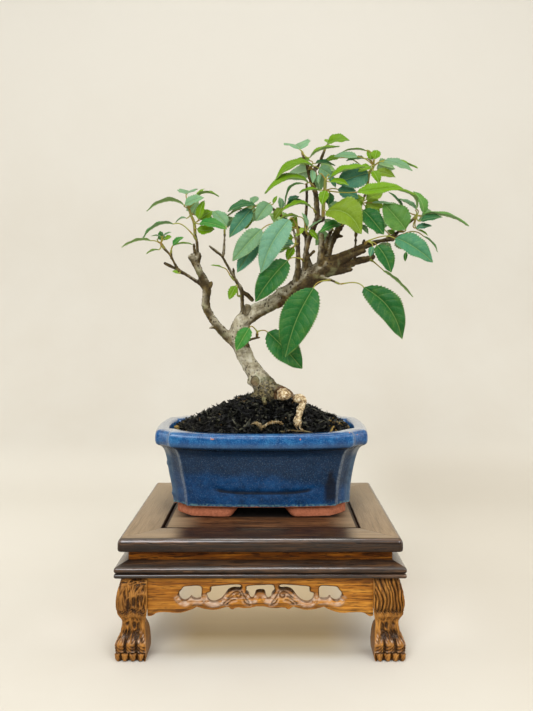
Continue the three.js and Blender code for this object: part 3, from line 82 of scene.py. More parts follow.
# A limb's name, how brown its bark is from 0 (pale) to 1 (dark), then x z y radius rows. A line that starts with a
# space goes on from the one before it.
LIMBS = """
trunk 0.08 14 168 0 13, 9 186 0 12.5, 3 198 0 11, -2.5 206.5 0 9, -8 214.5 0 7.8, -13 223 0 7.4, -16.5 231 0 7.6,
 -19.8 240 0 8, -20 250 0 8.6, -15.5 259 -1 7.8, -6 266 -2 7.3, 5 271.5 -3 7, 16 278 -3 7.4, 27 285 -3 8,
 38 292 -2 8.2, 49 300 0 9, 58 305.3 0 8.4, 69.4 306.8 0 5.6
burr 0.2 -9 205 -3 6, -7 204.5 -8 5
limb_knob 0.5 15 280 -3 6.5, 22 284 -7 6.2
root_knob -0.1 15.5 193 -17 3, 18.6 192.8 -21.5 5, 19.8 191.2 -24.5 5.8, 20.6 187.6 -25.5 5.2
root_front 0.1 4 197 -4 8, 11 198 -8 5, 17 198 -11 3, 21.5 196 -14 2.8, 25.5 193 -17.5 2.6, 28.4 190 -20.5 2.3,
 31.5 188.9 -23.5 4.4, 34.6 188.6 -25 4.2, 37 186.6 -26 3.7, 36.8 183.2 -27 2.7, 34.4 180 -28 3.9,
 33.8 175.5 -29 2.9, 32.6 172 -29.5 2.9, 31.6 168.5 -30 4, 32.2 164.5 -30.5 3.5, 31.8 160 -29.5 2.2,
 31.8 153 -27 2.2
root_left 0.5 0 190 0 9, -14 179 -6 5.5, -26 168 -10 4
root_back 0.5 6 190 4 9, 14 182 18 6, 24 170 30 4
root_middle 0.55 5 194 -9 4, 2 189 -16 2.6, 3 183 -20 2.2
root_surface 0.72 18.7 165.8 -32 0.8, 13.7 167.5 -35 1.05, 8.8 167.1 -36 1.1, 4.4 165.5 -36 1, 1.3 162.5 -35.5 1.3,
 -0.1 158.6 -34.5 1.1
root_thread 0.8 14.7 158.4 -37.5 0.45, 21 159.6 -37.5 0.5, 26.7 160.2 -37.5 0.6, 32 159.4 -37.5 0.5,
 36.6 159.6 -37.5 0.55, 45.5 158.2 -37 0.4
root_fork 0.6 32.5 163.6 -32 1.1, 34.6 161.6 -35 0.7, 38 159.4 -37.5 0.5
root_curl 0.72 0.5 159.5 -34.5 1.2, -1.4 164 -36 1.7, -4.4 166.4 -35.5 1.5, -7.4 166.2 -34 0.9, -9.4 164.8 -32 1.1,
 -11.9 163.5 -31 1
left_limb 0.62 -18 234 0 6, -28 242 0 5.2, -36.5 250 0 4.4, -44.2 260 0 3.9, -49.5 270 0 4, -49.5 281.1 0 4.1,
 -49.4 289.1 0 4.3, -52.7 296.2 0 3.8, -57.3 305.2 0 3.6, -60.8 312.3 0 3.9, -63.9 317.9 0 3.6
left_limb_heel 0.6 -58.3 309.3 0 3, -56.1 315.3 0 2.6, -56.1 319.4 0 2
left_leader 0.75 -57.8 311.3 0 2.6, -57.5 319.4 0 2, -58 328.5 0 1.5, -59.6 337 0 1.4
left_leader_snag 0.8 -58.3 315.3 0 1.8, -60.2 321.4 0 1.2, -60.6 327 0 0.8
left_spur 0.6 -41 253 0 2.6, -44.5 252 -2 1.6, -47.5 251.3 -3 1
left_knuckle 0.6 -50.1 271 0 3, -54.3 272 -1 1.4
left_snag 0.8 -47.2 288.1 0 2.2, -45.4 290.6 0 1.2, -45 293.3 0 0.8
low_twig 0.8 -50.2 287.1 0 3, -55.2 291.1 -1 2.2, -61.2 295.2 -1 1.9, -68.3 299.7 -1 1.8, -74.3 303.2 -1 1.9,
 -78.4 310.3 -1 1.4, -82.4 317.3 -1 1.4, -88 323.4 -1 1.6
low_snag 0.85 -73.3 302.7 -1 1.6, -80.3 306.2 -1 1.1, -87.4 309.8 -1 0.9
low_spur 0.8 -80.4 313.3 -1 1.2, -81.2 318.4 -1 1
middle_stem 0.75 -17 256 0 4, -17 264 0 2.6, -17.4 272 0 2, -17.7 281.1 0 2.1, -18.6 286.6 0 2.4, -22.1 292.1 0 1.9,
 -26.1 299.2 0 1.7, -30.7 307.3 0 1.5, -35.7 315.9 0 1.5, -40.7 319.9 0 1.7, -47.6 325.5 0 1.1
middle_knob 0.6 -14.4 263.5 -6 2.9, -13.3 268.5 -8 3, -12.4 272.8 -8.5 2.4
middle_spur 0.9 -17.9 284.1 0 1.8, -13 281.1 -1 1.7, -10 278.1 -1 1.5, -7.6 275.6 -1 1.2
middle_snag 0.9 -24.5 295.7 0 1.2, -25.5 305.3 0 0.7
middle_shoot 0.6 -34.7 314.3 0 1.1, -33.8 322.4 0 0.9, -33.1 335.6 0 0.8
trunk_twig 0.8 -15 240 -4 2.4, -9.5 241.5 -6 1.4, -4 242.8 -6 1.2, -1 243.3 -6 0.9
trunk_spur 0.9 -4.6 242 -6 1.3, -4.1 247 -6 0.9
fork_low 0.95 55.2 300.2 -1 5, 66.3 301.2 -2 3, 74.4 302.6 -2 2.4, 81.4 304.3 -2 1.9
fork_main 0.95 60.3 304.3 1 6, 72.4 307.3 2 4.6, 84.5 310.9 2 3.8, 96.6 313.9 2 3, 101.6 315.9 2 2.4
fork_main_snag 0.95 97.6 313.4 2 2.2, 99.2 321.5 2 1.2
fork_cut 0.95 60.3 307.3 -2 5, 72.4 312.4 -3 3.2, 82.5 316.9 -4 2.6, 93.1 321.5 -5 2.5
fork_long 0.95 57.3 311.3 -3 4, 68.4 316.4 -4 2.4, 80.5 321.5 -5 2, 90.6 325.5 -6 2, 101.7 328.6 -6 1.9,
 111.8 330.1 -6 2, 118.9 330.4 -6 1.6
fork_long_snag 0.95 90.6 325 -6 1.9, 91.3 330.6 -6 0.9
fork_long_tip 0.95 114.9 330.6 -6 1.4, 126 335 -7 0.9
right_twig 0.9 111.8 330.1 -5 1.5, 121 336.7 -3 1.2, 129.1 344.3 -2 1.2, 136.2 349.4 -2 1.3
under_twig 0.7 50.2 298.2 -5 3, 56.2 296 -8 1.9, 62.3 294.2 -9 1.5, 66.8 292.2 -9 1.2
stem_left 0.8 30.1 288.1 -5 4.4, 31.5 300.2 -7 3, 32.4 312.3 -7 2.6, 32.6 324.5 -7 2, 32.8 336.7 -7 1.7
stem_leader 0.8 38.1 293.2 -1 5, 38.6 306.3 -2 3.4, 39.4 318.4 -2 2.8, 41.8 330.6 -2 2.8, 45.8 340.7 -2 2.8,
 49.4 349.9 -2 3, 49 361.1 -1 2.8, 48.1 371.3 0 2.6, 45.1 380.5 0 2.5, 42.4 388.7 0 2.2, 40.4 396.8 0 1.9,
 37.6 403 0 1.5, 36.4 407.1 0 1.2
leader_knuckle 0.7 49.4 347.8 -2 3, 53.9 348.4 -3 2.6, 54.9 352.4 -3 1.9
stem_snag 0.95 38.7 312.3 -4 2, 42.2 315.9 -6 1.4, 47.3 320.8 -7 0.8
stem_behind 0.85 44.2 300.2 6 4, 40.2 320.4 12 2, 38.9 344.8 14 1.8, 40.1 363.1 14 1.7, 40 381.5 13 1.4
stem_cut 0.72 52.3 306.3 -4 4.6, 52.9 322.5 -5 3.1, 53.1 336.7 -5 2.9
stem_right 0.85 55.3 308.3 2 5.5, 59.9 322.5 4 3.9, 65 333.6 5 3.5, 72.6 346.8 6 3
stem_right_snag 0.95 67.5 333.6 4 2.4, 73.1 333.6 2 1
stem_middle 0.7 55.3 318.4 0 2.6, 57.4 328.6 -1 2.2, 63 340.7 -1 1.8
thin_stem 0.7 82.9 310.3 1 1.4, 83.5 320.5 1 1.1, 83.8 330.6 2 1, 84.3 340.8 3 0.9
left_crown_twig 0.9 42.3 331.6 1 2, 30.2 342.8 6 1.3, 18.1 350.9 10 1.1, 9.5 358.5 12 1.1
top_twig 0.7 42.9 386.6 1 1.6, 50.1 395.8 8 1.1, 53.1 403 8 1, 56.2 410.7 6 0.9
right_crown_twig 0.9 70.6 342.8 6 2.4, 84.8 360.1 10 1.8, 91.4 368.3 10 1.5, 94.5 379.5 9 1.4
back_limb_middle 0.7 57 305 4 5, 61 322 20 2.6, 66 334 32 2.1, 74 348 43 1.5
back_limb_left 0.7 33 291 2 5, 32.5 310 18 2.4, 31 328 30 1.9, 28 340 38 1.4
back_limb_right 0.7 64 306 3 4.8, 82 318.5 20 2.4, 101 327 32 1.9, 112 332 39 1.5
back_twig_top 0.7 44 384 1 1.8, 45.6 390 14 1.2, 47 394.6 27 1
"""
# name | the green stem as x z y radius rows, then a leaf a line: base x z y, tip x z y, width, roll, arch, tone, sweep
SHOOTS = """
shoot_left_leader | -59.6 335.6 0 1.5, -60.5 345.5 0 1.5, -63.5 353 0 1.3, -65 358.5 0 1.1
  -69.5 361.5 -2 -103.4 358 -8 12 86 5.5 bright
  -67.5 371 2 -64 374.5 24 20 84 0 pale
  -58 368.5 -2 -38 370 -6 11 76 3.5 bright
  -57.5 367 3 -51.5 376.5 8 6 40 1 bright
  -69 361 -5 -51.5 368.5 -10 12 42 1 pale
  -56.5 348.5 -4 -51.5 366 -6 9 18 1 bright
  -55.5 348 3 -44 356.5 8 12 15 1 bright
  -56 344.5 -7 -31 340 -13 12 40 3 mid
  -58 340 -4 -42 339.5 -10 11 30 -2 bright
  -67 349.5 2 -77.6 345.5 4 5 60 2 pale
  -54 352 12 -43 346 32 14 160 2 mid
  -62 354 12 -57 364 30 14 160 2 mid

shoot_left_side | -58.6 330.5 0 1.4, -61 334.5 -3.4 1.2
  -79 344.5 -5 -107.7 333 -11 13 74 4.5 mid

shoot_low_tip | -87 322.4 -1 1.5, -90 327 -1 1.5
  -99 329.5 -3 -125.7 324 -7 11 78 3 bright
  -92 321.5 -3 -103.5 318 -6 6 72 1 bright
  -90 333.5 2 -99 334 4 4 65 0.5 pale
  -88 333.5 -2 -81 337.5 -4 4 55 0.5 pale
  -86.5 331.5 -3 -80.5 333 -5 6 30 0 bright
  -93 331 8 -87 334.5 24 11 150 2 mid

shoot_low_spur | -81.2 316.8 -1 1.2, -80.9 321.4 -1 1.1
  -79.5 325 -2 -70 333 -5 7.5 40 1 mid
  -77.5 326 1 -61.2 327 3 4 72 1 bright

shoot_low_side | -72.8 302.7 -1 1, -73.3 300.2 -2.6 1
  -74.3 300.7 -3.5 -80 302.2 -6 5 45 0 bright

shoot_middle_top | -33.2 333.6 0 0.9, -33.3 340.2 0 1.1
  -31.5 342 2 -44 356.4 8 14 22 2 pale
  -31.3 345 5 -24.5 350 20 11 150 2 mid

shoot_middle_low | -24.7 294.2 0 1, -28.1 298.2 -2.4 0.9
  -34.7 305.6 -4 -45.7 307.8 -6 4 80 0.5 bright

shoot_middle_side | -18.1 280.1 0 1, -21.6 280.1 -3 1
  -23 289.5 -5 -29.3 276.9 -7 9 15 0.5 bright

shoot_trunk | -4.1 244.5 -6 1.2, -4.1 248.5 -6.4 1.2
  -11 252 -13 -23 231.5 -18 14 10 1.5 mid
  5 248 -11 36.4 215.5 -15 27 12 4 deep

shoot_under_near | 60.8 294.4 -9 1.2, 58.7 294.2 -12.6 1.1
  46.2 287.5 -22 21 226 -30 33 4 3 deep -3

shoot_under_tip | 65.3 292.7 -9 1.2, 69.8 290.8 -9 1
  91 288 -12 126 242 -22 27 5 3 deep 6

shoot_stem_low | 37.2 311.3 -3 1.2, 35.6 313.4 -11.5 1
  23.1 311.8 -18 -6 275.5 -24 24 8 3 deep -1

shoot_stem_left | 32.8 334.6 -7 1.6, 31.8 340.7 -9 1.4
  24.7 348.3 -20 -1 300.7 -30 23 5 4 mint -3
  0 339.7 -14 -26.2 311.3 -20 19 10 3 pale
  -2 332.6 -6 -22.1 301.2 -10 17 5 2 bluegreen
  29.8 351.4 -4 25.2 337.5 -8 9 20 1 olive
  26 347 8 16 335 6 10 30 1 olive

shoot_left_crown | 10.6 357.5 12 1.2, 6.5 361.5 12 1.2
  7 362.9 6 -5.1 347.3 -1 16 6 2 pale
  -5.1 360.5 6 -30.8 355.7 -2 14 55 3 dark
  -9.1 357.5 8 -29.2 333.1 2 16 8 2 bluegreen
  -16.2 358 13 -33.3 349.3 12 8 78 2 olive
  -8.1 362 14 -4.1 369.2 22 9 25 1 pale
  -9.1 352.9 15 -15.1 339.7 18 10 20 1 olive
  10.3 362.6 13 13.6 369.7 14 4 20 0.5 bright
  -4 356 24 -22 346 42 16 165 2 mid

shoot_left_crown_low | 18.1 350.9 10 1.1, 16.7 354.9 10 1.1
  17.1 358 11 16.1 368.7 14 7 25 1 pale
  24.2 363.1 18 33.3 369.5 24 9 40 1 bluegreen
  22 360 14 35 366.5 12 8 30 1 dark
  18.4 359 12 11 348 8 9 30 1 olive

shoot_leader_low | 48.4 354 -2 1.3, 46.8 356.5 -7.6 1.2
  44.4 359 -10 17.6 356.5 -16 13 64 5 bright

shoot_leader_base | 41.9 334.6 -3 1.3, 39.3 337.7 -8.6 1.3
  33.3 350.9 -12 15.6 349.9 -16 9 70 1.5 olive
  41.3 340.2 -11 53.9 348.7 -15 4.5 70 0.5 pale
  42 339 -6 50.5 330 -4 7 25 0.5 bright
  38 341 -7 30 333 -8 6 25 0.5 lime
  41 342 -9 36 355 -12 5 40 0.5 pale

shoot_stem_side | 31.8 326.5 -7 1.2, 30.2 326.8 -12.4 1.2
  28.8 327.1 -13 17.6 325.5 -15 8 45 1 bluegreen
  28.7 323.5 -10 22.1 312.3 -11 9 20 1 bright
  26.6 323.3 -13 13.1 319 -15 4 70 0.5 bright
  28.2 332.1 -7 19.6 330.6 -4 9 30 1 bright

shoot_leader_mid | 46.9 376.9 0 1.3, 44.6 379.9 -5.4 1.2
  41.9 381.3 -8 2 373.8 -16 18 56 7.5 bright
  38.9 379.9 4 20.1 360 10 8 82 8 mid

shoot_leader_high | 41.4 392.7 0 1.3, 44.1 395.8 -4.6 1.3
  46 396.4 -6 10.6 384.5 -14 16 58 6.5 bright
  47.5 398.4 4 65.8 396.4 10 9 58 2 dark
  50.6 394.3 5 62.7 387.5 7 12 10 1 pale
  43 400.9 5 29.3 402 12 8 60 1 bright
  40.9 392 14 22 386 34 15 165 2 pale
  45 393 -3 45.5 381 -6 6 20 0.5 pale
  42 396 2 34 399 0 6 45 0.5 olive

shoot_leader_top | 36.6 405.6 0 1.2, 35.8 409.5 0 1.2
  34 410.8 1 28.5 415.5 26 27 84 1 pale
  43 404 -4 69.9 413.5 -9 12 66 3.5 bright

shoot_top | 55.7 409.2 6 1, 57.5 413.8 5.4 1
  57.9 415.1 4 78.6 419 -3 17 46 3 bright
  60 416 11 66 419 32 14 85 1 bright

shoot_young | 54.7 350.9 -3 1.8, 55.1 363.1 -4 1.8, 56.2 374.4 -4.6 1.7, 56.8 384.1 -5 1.5
  61.2 385.4 -9 94.1 395.5 -15 15 58 3.5 bright
  60.6 382 -12 77.8 379 -18 10 52 1.5 bright
  85 373 -13 126.5 378 -21 14 38 0 bright
  51.5 374.6 -9 32.8 372.8 -13 9 62 1.5 bright
  60.6 372.8 0 59.5 361.6 4 11 10 1 dark
  67.7 375.4 -3 86.9 367.7 0 14 8 1 bluegreen
  57.5 355.8 -12 89.4 336.8 -22 33 24 6 olive 5
  57 374.5 -12 53.5 361.5 -15 10 15 1 bright
  52 389 -5 50.5 380 -8 5 35 0.5 pale
  60 388 -3 66 377 -6 7 15 0.5 bluegreen

shoot_thin | 84.3 339.2 3 1, 84.9 343.6 3 1
  88.7 343.8 -4 95.2 335.7 -6 6 20 0.5 pale

shoot_crown_right_low | 86.8 362.7 10 1.5, 89.4 362.8 5.6 1.3
  92.4 363.2 3 109.1 359.6 1 12 12 1 lime
  98 363.5 -4 118.2 362.7 -10 4 40 0.5 pale
  90 357 -3 109 335 -11 20 10 2 deep
  93 366 12 108 372 16 13 20 1 lime
  92 361 14 106 350 18 14 15 1 bright
  91 368 8 80 362 12 10 25 1 lime
  88 366 4 84.5 352 2 8 20 1 bright

shoot_crown_right | 94.2 378.5 9 1.5, 95.9 389.7 8 1.5, 100.2 396.4 5 1.3
  95.1 390 -1 66.7 381 -5 24 4 2 bluegreen
  85.6 404.5 0 64.3 405 -6 10 32 1 pale
  92.2 403 6 74.9 401 4 8 45 1 dark
  69.9 403.5 11 55.7 401 13 7 35 1 bright
  93.2 410 5 71.9 410 7 6 80 1.5 bright
  97.7 401.5 4 94.3 411 6 7 12 0.5 bright
  100.8 402 1 102.9 411 4 10 10 1 bright
  97 396 -3 86 391 -8 9 25 1 bright
  99 392 -4 105 381 -9 10 15 1 bright
  108.4 400 -2 134.7 392 -8 13 40 2 pale
  110.4 401 6 139.8 394.5 4 10 76 2 bright
  101.2 391 0 119.4 386.5 -6 12 26 1 olive
  104 398 14 118 394 36 14 165 2 mid
  92 390 18 76 385 40 16 165 2 mid

shoot_right_tip | 135.2 348.9 -2 1.4, 138.3 352 -3 1.4
  137.3 356.6 -6 118.8 375.5 -13 12 66 7.5 bright
  143.9 352.8 1 135.5 374 4 13 32 4 moss
  138.4 357.5 2 122.3 367 4 9 48 1 pale
  141.8 351.5 -5 185.7 344.5 -15 13 74 4.5 moss
  141.5 347 -9 161.5 350.5 -15 12 46 1 dark
  137.2 340.8 -4 151.8 342.6 -9 9 42 0.5 bluegreen
  139.2 339.3 0 148.7 334.2 -2 4.5 48 0.5 bright
  126.7 358.1 2 113.2 373.9 5 6 55 1 dark
  143 352 10 154 350 34 15 150 2 mid

shoot_right_mid | 122 337.7 -3 1.2, 127 337.7 -7 1.2
  128.5 339.3 -9 108.5 363 -5 27 6 2 moss

shoot_long_mid | 91.6 326.1 -6 1.3, 94.2 329.2 -9.6 1.3
  118.9 331.6 -15 153 310.9 -25 22 22 4 frost
  102.5 325.5 -13 115.5 301 -19 18 8 2 deep 1.5
  99 324.5 -13 96.6 315 -15 6 20 0.5 bluegreen

shoot_long_tip | 117.4 330.4 -6 1.3, 120.4 332.9 -3.4 1.2
  118.4 334.5 0 111.9 339.2 4 6 30 0.5 bright
  144.2 333.7 10 158.1 320 6 6 78 1.5 mid
  128.9 319.5 4 127.8 310.9 4 4 20 0.3 mid

shoot_main_tip | 95.6 313.4 1 1.5, 99.6 311 -1.4 1.2
  108.6 303.1 -6 135.5 279.1 -14 9 78 1.5 bright

shoot_stem_right | 72.1 345.3 5 1.5, 72.6 345.2 -1 1.3
  71.1 343.2 -5 51.4 337.2 -11 12 38 3.5 mid

shoot_back_middle | 73.4 347 42.6 1.6, 75 351 46 1.5
  70 355 50 58.5 364 64 17 165 3 mid
  76 356 52 84 368 62 17 160 3 mid
  78 352 54 87 341 68 18 150 3 deep
  71 350 58 62 354 76 17 120 3 deep

shoot_back_low | 65.6 334 31.4 1.4, 64.5 336 37 1.3
  60 335 40 48 326 52 16 160 3 mid
  63 341 42 56 349 54 14 160 3 deep

shoot_back_left | 28.2 339 37.4 1.5, 25 341 42 1.4
  20 340 46 4 328 60 18 165 3 mid
  21 344 48 7 353 60 17 150 3 bright
  23 334 50 14 318 62 19 165 3 deep
  15 330 64 2 312 74 19 165 3 deep

shoot_back_right | 111 331 38 1.5, 114 334.6 42 1.4
  116 340 46 122 356 58 18 160 3 mid
  109 340 47 98 350 60 18 165 3 mid
  120 331 47 138 322 58 18 160 3 deep
  112 328 52 108 311 62 16 165 3 deep

shoot_back_top | 46.8 394 26 1.2, 48 396 30 1.2
  44 393 36 27 389 50 15 160 3 mid
  52 394 38 66 391 54 16 150 3 bright
  49 388 40 52 374 56 17 160 3 mid
"""
TONES = {"bright": (94, 134, 2), "pale": (106, 146, 108), "mint": (104, 152, 124), "mid": (42, 112, 42),
         "deep": (22, 88, 36), "dark": (32, 88, 50), "bluegreen": (64, 122, 96), "olive": (104, 130, 26),
         "lime": (128, 158, 40), "moss": (76, 124, 54), "frost": (60, 118, 84)}
THICK = 2.3         # limbs whose widest radius is over this melt into one another
APART = ("root_knob", "middle_knob")     # thick, but not melted into the rest
BEADED = ("root_surface", "root_curl", "root_fork")
GRAIN = 0.69        # size of the melted wood's mesh
# How damp (to 1) or how cream and bare (to -1) each root is
DAMP = {"root_left": 1.0, "root_back": 1.0, "root_middle": 1.0, "root_front": -0.75, "root_knob": -1.0,
        "root_surface": -0.4, "root_curl": -0.33, "root_thread": -0.25, "root_fork": -0.42}
SCAR, RING, KNOB = sight(-6, 204, -9), sight(15, 272, -8), sight(20, 190.8, -25)
FOLD, STALK_RADIUS, SKIN = 0.3, 0.62, 0.16      # a leaf's fold (radians), its stalk, half its thickness
HALF_COLUMNS = 7

HALF_X, HALF_Y, TABLE = 109.5, 97.5, 92.4
RAIL_WIDTH, RAIL_THICK, PANEL_THICK = 30, 10.4, 7
MOULDING_BASE, MOULDING_TOP = 62.7, 74.1        # between the aprons and the waist
WAIST_INSET, WAIST_THICK = 7.4, 16
JOINT = 0.15
MITRE_ROWS = [0, 0.25, 0.6, 1.1, 1.7, 2.4, 3.4, 5]
SIDES = ("front", "right", "back", "left")

# Each wood's dark, middle and light tone, the painted sheen of its waxed tops, old wax with painted shade, the painted
# shadow under the pot and the finger-worn places
DARK_WOOD = ((14, 7, 3), (56, 35, 19), (104, 74, 48))
HONEY_WOOD = ((90, 46, 8), (172, 108, 32), (210, 146, 56))
LEG_WOOD = ((56, 29, 5), (142, 90, 30), (186, 130, 58))
WAIST_WOOD = ((58, 24, 0), (140, 76, 10), (192, 120, 32))
PANEL_WOOD = ((34, 18, 8), (92, 56, 30), (144, 100, 62))
WORN_DARK, WORN_HONEY, RIDGE = (132, 122, 114), (206, 178, 152), (190, 134, 66)
PAINTED_SHEEN, FAR_PAINTED_SHEEN, OLD_WAX_AND_SHADE, POT_SHADOW_BLACK = (160, 138, 110), (172, 152, 124), (26, 13, 5), (3, 2, 1)
# The moulding's profile: in from the face, height, wear, shine, deep (old wax and painted shade, in the groove under
# its bead and at its joints)
LIP = rows_of("""
1.4 0 0 0 0.2, 0.5 0.1 0 0 0, 0.05 0.7 0 0.2 0, 0 1.6 0.1 0.8 0, 0.2 2.5 0.1 1 0, 0.8 3 0 1 0, 1.7 3.3 0 0.8 0.6,
1.8 3.7 0 0 1, 1 3.9 0 0 1, 0.3 4.3 0 0 0.7, 0 5.1 0 0.2 0, 0 6 0 0.8 0, 0.2 6.9 0.1 1 0, 0.8 7.7 0.2 1 0,
1.7 8.3 0.2 1 0, 3 8.9 0.1 1 0, 5.6 10 0.1 0.6 0, 8.8 11.2 0.05 0.2 0, 9.6 11.4 0 0 0.9, 24 11.4 0 0 0, 24 0 0 0 0""")
# Half of the apron's lower edge, from the leg in to the middle: [distance from the leg end, height]
APRON_EDGE = rows_of("""
0 32, 3.4 32, 7.4 35, 15 35, 24 34.2, 30 35.6, 36.2 38, 37.6 39.4, 39.6 38.6, 45 37.2, 52 36.6, 58 38.2, 61.6 39.4,
65 36.6, 68 38.9, 76 37.7, 86.6 40""")
# The pierced openings left of the middle, and the middle one: [distance from the middle, height]
PIERCINGS = [rows_of(line) for line in ("""
-60.5 52.4, -58.5 54.6, -53.1 55.2, -47.8 55.4, -45.6 54.6, -45 52.4, -45.3 48, -45.8 44.8, -48.5 44, -51.6 44.4,
-53.7 46, -55 44.2, -57.7 42.8, -60.8 43.4, -62.8 46.4, -62.4 50""", """
-37.6 54.6, -27 55.8, -17.9 56.3, -14.8 55.6, -14.5 53.4, -16.3 52.2, -20.2 52.4, -24 51.2, -26.3 48.8, -28.6 45.6,
-31.7 43, -35.5 41.7, -39 42.6, -41 45.6, -41 49.6, -37.9 51""")]
MIDDLE_PIERCING = rows_of("""
-10.2 55, -1 55.8, 9 56, 10.6 54, 11 50.6, 9 48.6, 8 45.2, 5.2 44.5, 4.2 47, 3.2 50, 0 50.6, -3.2 50, -4.4 47,
-5.4 44.8, -7.9 45, -9 48.4, -11 50, -10.6 52.4""")
# Carved lines left of the middle: a curl and fronds beside the openings
CURLS = [rows_of(line) for line in ("""
-25.6 45.6, -22.6 48.4, -19.6 50.6, -16.4 50.6, -14.8 48.6, -16 46.6, -18.4 47, -18.6 48.8, -17.2 49.2""", """
-28.4 42, -25.4 44, -22.6 46.4, -20.4 47.6""", """
-25.6 41.6, -22.4 43.8, -19 44.6""", """
-14.4 51.2, -12.8 48.2, -11 45.4, -8.6 42.2""", """
-13 45, -11.4 42.2, -8 40.6""")]
APRON_GRID, APRON_THICK = 0.75, 7.0
# The leg: [height, inset of the outer faces, width, inset of the inner edge]
LEG_LEVELS = rows_of("""
-1.2 1.4 20.8 1, -0.6 0.5 22.4 0.5, 1.2 0 23.6 0, 6.4 -0.5 24.4 0, 11.4 -0.4 24 0, 15.5 1.2 22 0,
20.4 3.1 19.6 0.5, 28 4 18.6 3, 35 0.9 23.1 2, 43 0 24.2 0, 52 1.1 23.1 0, 62.7 4.2 20 0""")
LEG_CORNER, LEG_FACE_STEPS = 2.6, 56
TOES, CLAWS = 3, 4      # on each face

POT_WIDTH, POT_DEPTH, POT_HEIGHT, POT_Y = 180.0, 106.0, 74.2, 3.0
POT_CUT, POT_STEP, POT_SWELL, POT_SIDE_SWELL, POT_SAG = 13.0, 3.2, 4.5, 2.6, 2.0
# The wall from the foot up over the rim and down inside: [height, inset, how much of it is glaze]
POT_WALL = rows_of("""
9.3 15.6 0, 9.15 14.9 0, 9.3 14.3 0, 9.9 14 0.7, 10.8 13.9 0.9, 13 13.8 1, 18 13.6 1, 23 13.25 1, 28 12.75 1,
33 12.05 1, 38 11.2 1, 43 10.3 1, 48 9.25 1, 52 8.2 1, 55 7.2 1, 57.4 6.1 1, 59 4.9 1, 60 3.7 1, 60.8 2.3 1,
61.8 1.1 1, 63.2 0.4 1, 65 0.05 1, 67.5 0 1, 69.8 0.15 1, 71.4 0.5 1, 72.6 1.1 1, 73.5 2 1, 74.05 3.2 1,
74.25 4.8 1, 74.2 6.8 1, 74.1 8.6 1, 73.8 9.8 1, 73.1 10.7 1, 72 11.2 1, 69 11.8 1, 65 12.8 0.9, 55 15 0.2,
40 17.4 0, 17 21 0""")
RIM_TOP = 28        # the row of POT_WALL at the top of the rim
LINE_MIDDLE, LINE_REACH, LINE_RISE = 2, 42, 3.0     # the line pressed into the pot's long sides
POT_FLOOR, POT_BASE = 17, 9.3       # inside and underneath
DRAIN_X, DRAIN_RADIUS, DRAIN_STEPS = 36, 6.5, 40
SOIL_EDGE, SOIL_BASE, FLAKES = POT_HEIGHT - 4.5, 18.8, 4200
HEAP_X, HEAP_Y, HEAP_HEIGHT = 4.0, 1.0, 34


def linked(name, data):
    made = bpy.data.objects.new(name, data)
    bpy.context.scene.collection.objects.link(made)
    return made


def net(name, points, faces):
    mesh = bpy.data.meshes.new(name)
    mesh.from_pydata(points.tolist(), [], faces)
    return mesh


class Shape:
    """The points (mm), faces and marks of one piece, gathered from several solids."""

    def __init__(self):
        self.points, self.faces, self.marks, self.count = [], [], {}, 0

    def add(self, points, faces, **marks):
        """Each mark is one value or vector for the whole solid, or one for each point."""
        points = np.asarray(points, float).reshape(-1, 3)
        self.points.append(points)
        self.faces.extend([tuple(i + self.count for i in face) for face in faces])
        for name, values in marks.items():
            values = np.atleast_1d(np.asarray(values, float))
            if values.shape == (len(points),):
                values = values[:, None]
            whole = np.broadcast_to(values, (len(points), values.shape[-1]))
            self.marks.setdefault(name, []).append((self.count, whole))
        self.count += len(points)

    def piece(self, name, material, slot, replaces, sharp=50):
        """Makes the piece, smooth but for its sharp edges, and lets it ride on the part."""
        mesh = net(name, put(np.concatenate(self.points)), self.faces)
        for mark, solids in self.marks.items():
            wide = solids[0][1].shape[-1]
            data = np.zeros((self.count, wide), np.float32)
            for start, values in solids:
                data[start:start + len(values)] = values
            kind, field = ("FLOAT", "value") if wide == 1 else ("FLOAT_VECTOR", "vector")
            mesh.attributes.new(mark, kind, "POINT").data.foreach_set(field, data.ravel())
        mesh.validate()
        mesh.shade_smooth()
        mesh.set_sharp_from_angle(angle=math.radians(sharp))
        mesh.materials.append(material)
        piece = linked(name, mesh)
        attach(piece, "root")
        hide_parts(*replaces)


def outward(points, faces):
    """The faces, turned round if they enclose the points inside out."""
    points = np.asarray(points, float)
    volume = 0.0
    for face in faces:
        for i in range(1, len(face) - 1):
            volume += np.dot(points[face[0]], np.cross(points[face[i]], points[face[i + 1]]))
    return faces if volume > 0 else [tuple(reversed(face)) for face in faces]


def loft(rings, caps=True):
    """Closed rings of equally many points, joined in order."""
    n, last = len(rings[0]), (len(rings) - 1) * len(rings[0])
    faces = []
    for r in range(0, last, n):
        for i in range(n):
            a, b = r + i, r + (i + 1) % n
            faces.append((a, b, b + n, a + n))
    if caps:
        faces += [tuple(range(n - 1, -1, -1)), tuple(range(last, last + n))]
    points = np.concatenate([np.asarray(ring, float) for ring in rings])
    return points, outward(points, faces)


def board(half_x, half_y, levels, middle=(0, 0)):
    """A rectangular block. levels: [how far its four sides are drawn in, z]"""
    return loft([[(middle[0] + sx * (half_x - inset), middle[1] + sy * (half_y - inset), z) for sx, sy in CORNERS]
                 for inset, z in levels])


def catmull(p0, p1, p2, p3, t):
    return 0.5 * (2 * p1 + (p2 - p0) * t + (2 * p0 - 5 * p1 + 4 * p2 - p3) * t * t
                  + (3 * p1 - p0 - 3 * p2 + p3) * t ** 3)


def spline(rows, steps):
    """A smooth curve through rows of numbers: this many steps from row to row, or steps of this length."""
    rows = [np.asarray(row, float) for row in rows]
    padded = [2 * rows[0] - rows[1], *rows, 2 * rows[-1] - rows[-2]]
    out = []
    for k in range(len(rows) - 1):
        gap = np.linalg.norm((padded[k + 2] - padded[k + 1])[:3])
        count = steps if isinstance(steps, int) else max(1, int(gap / steps))
        out += [catmull(*padded[k:k + 4], i / count) for i in range(count)]
    return np.array([*out, rows[-1]])


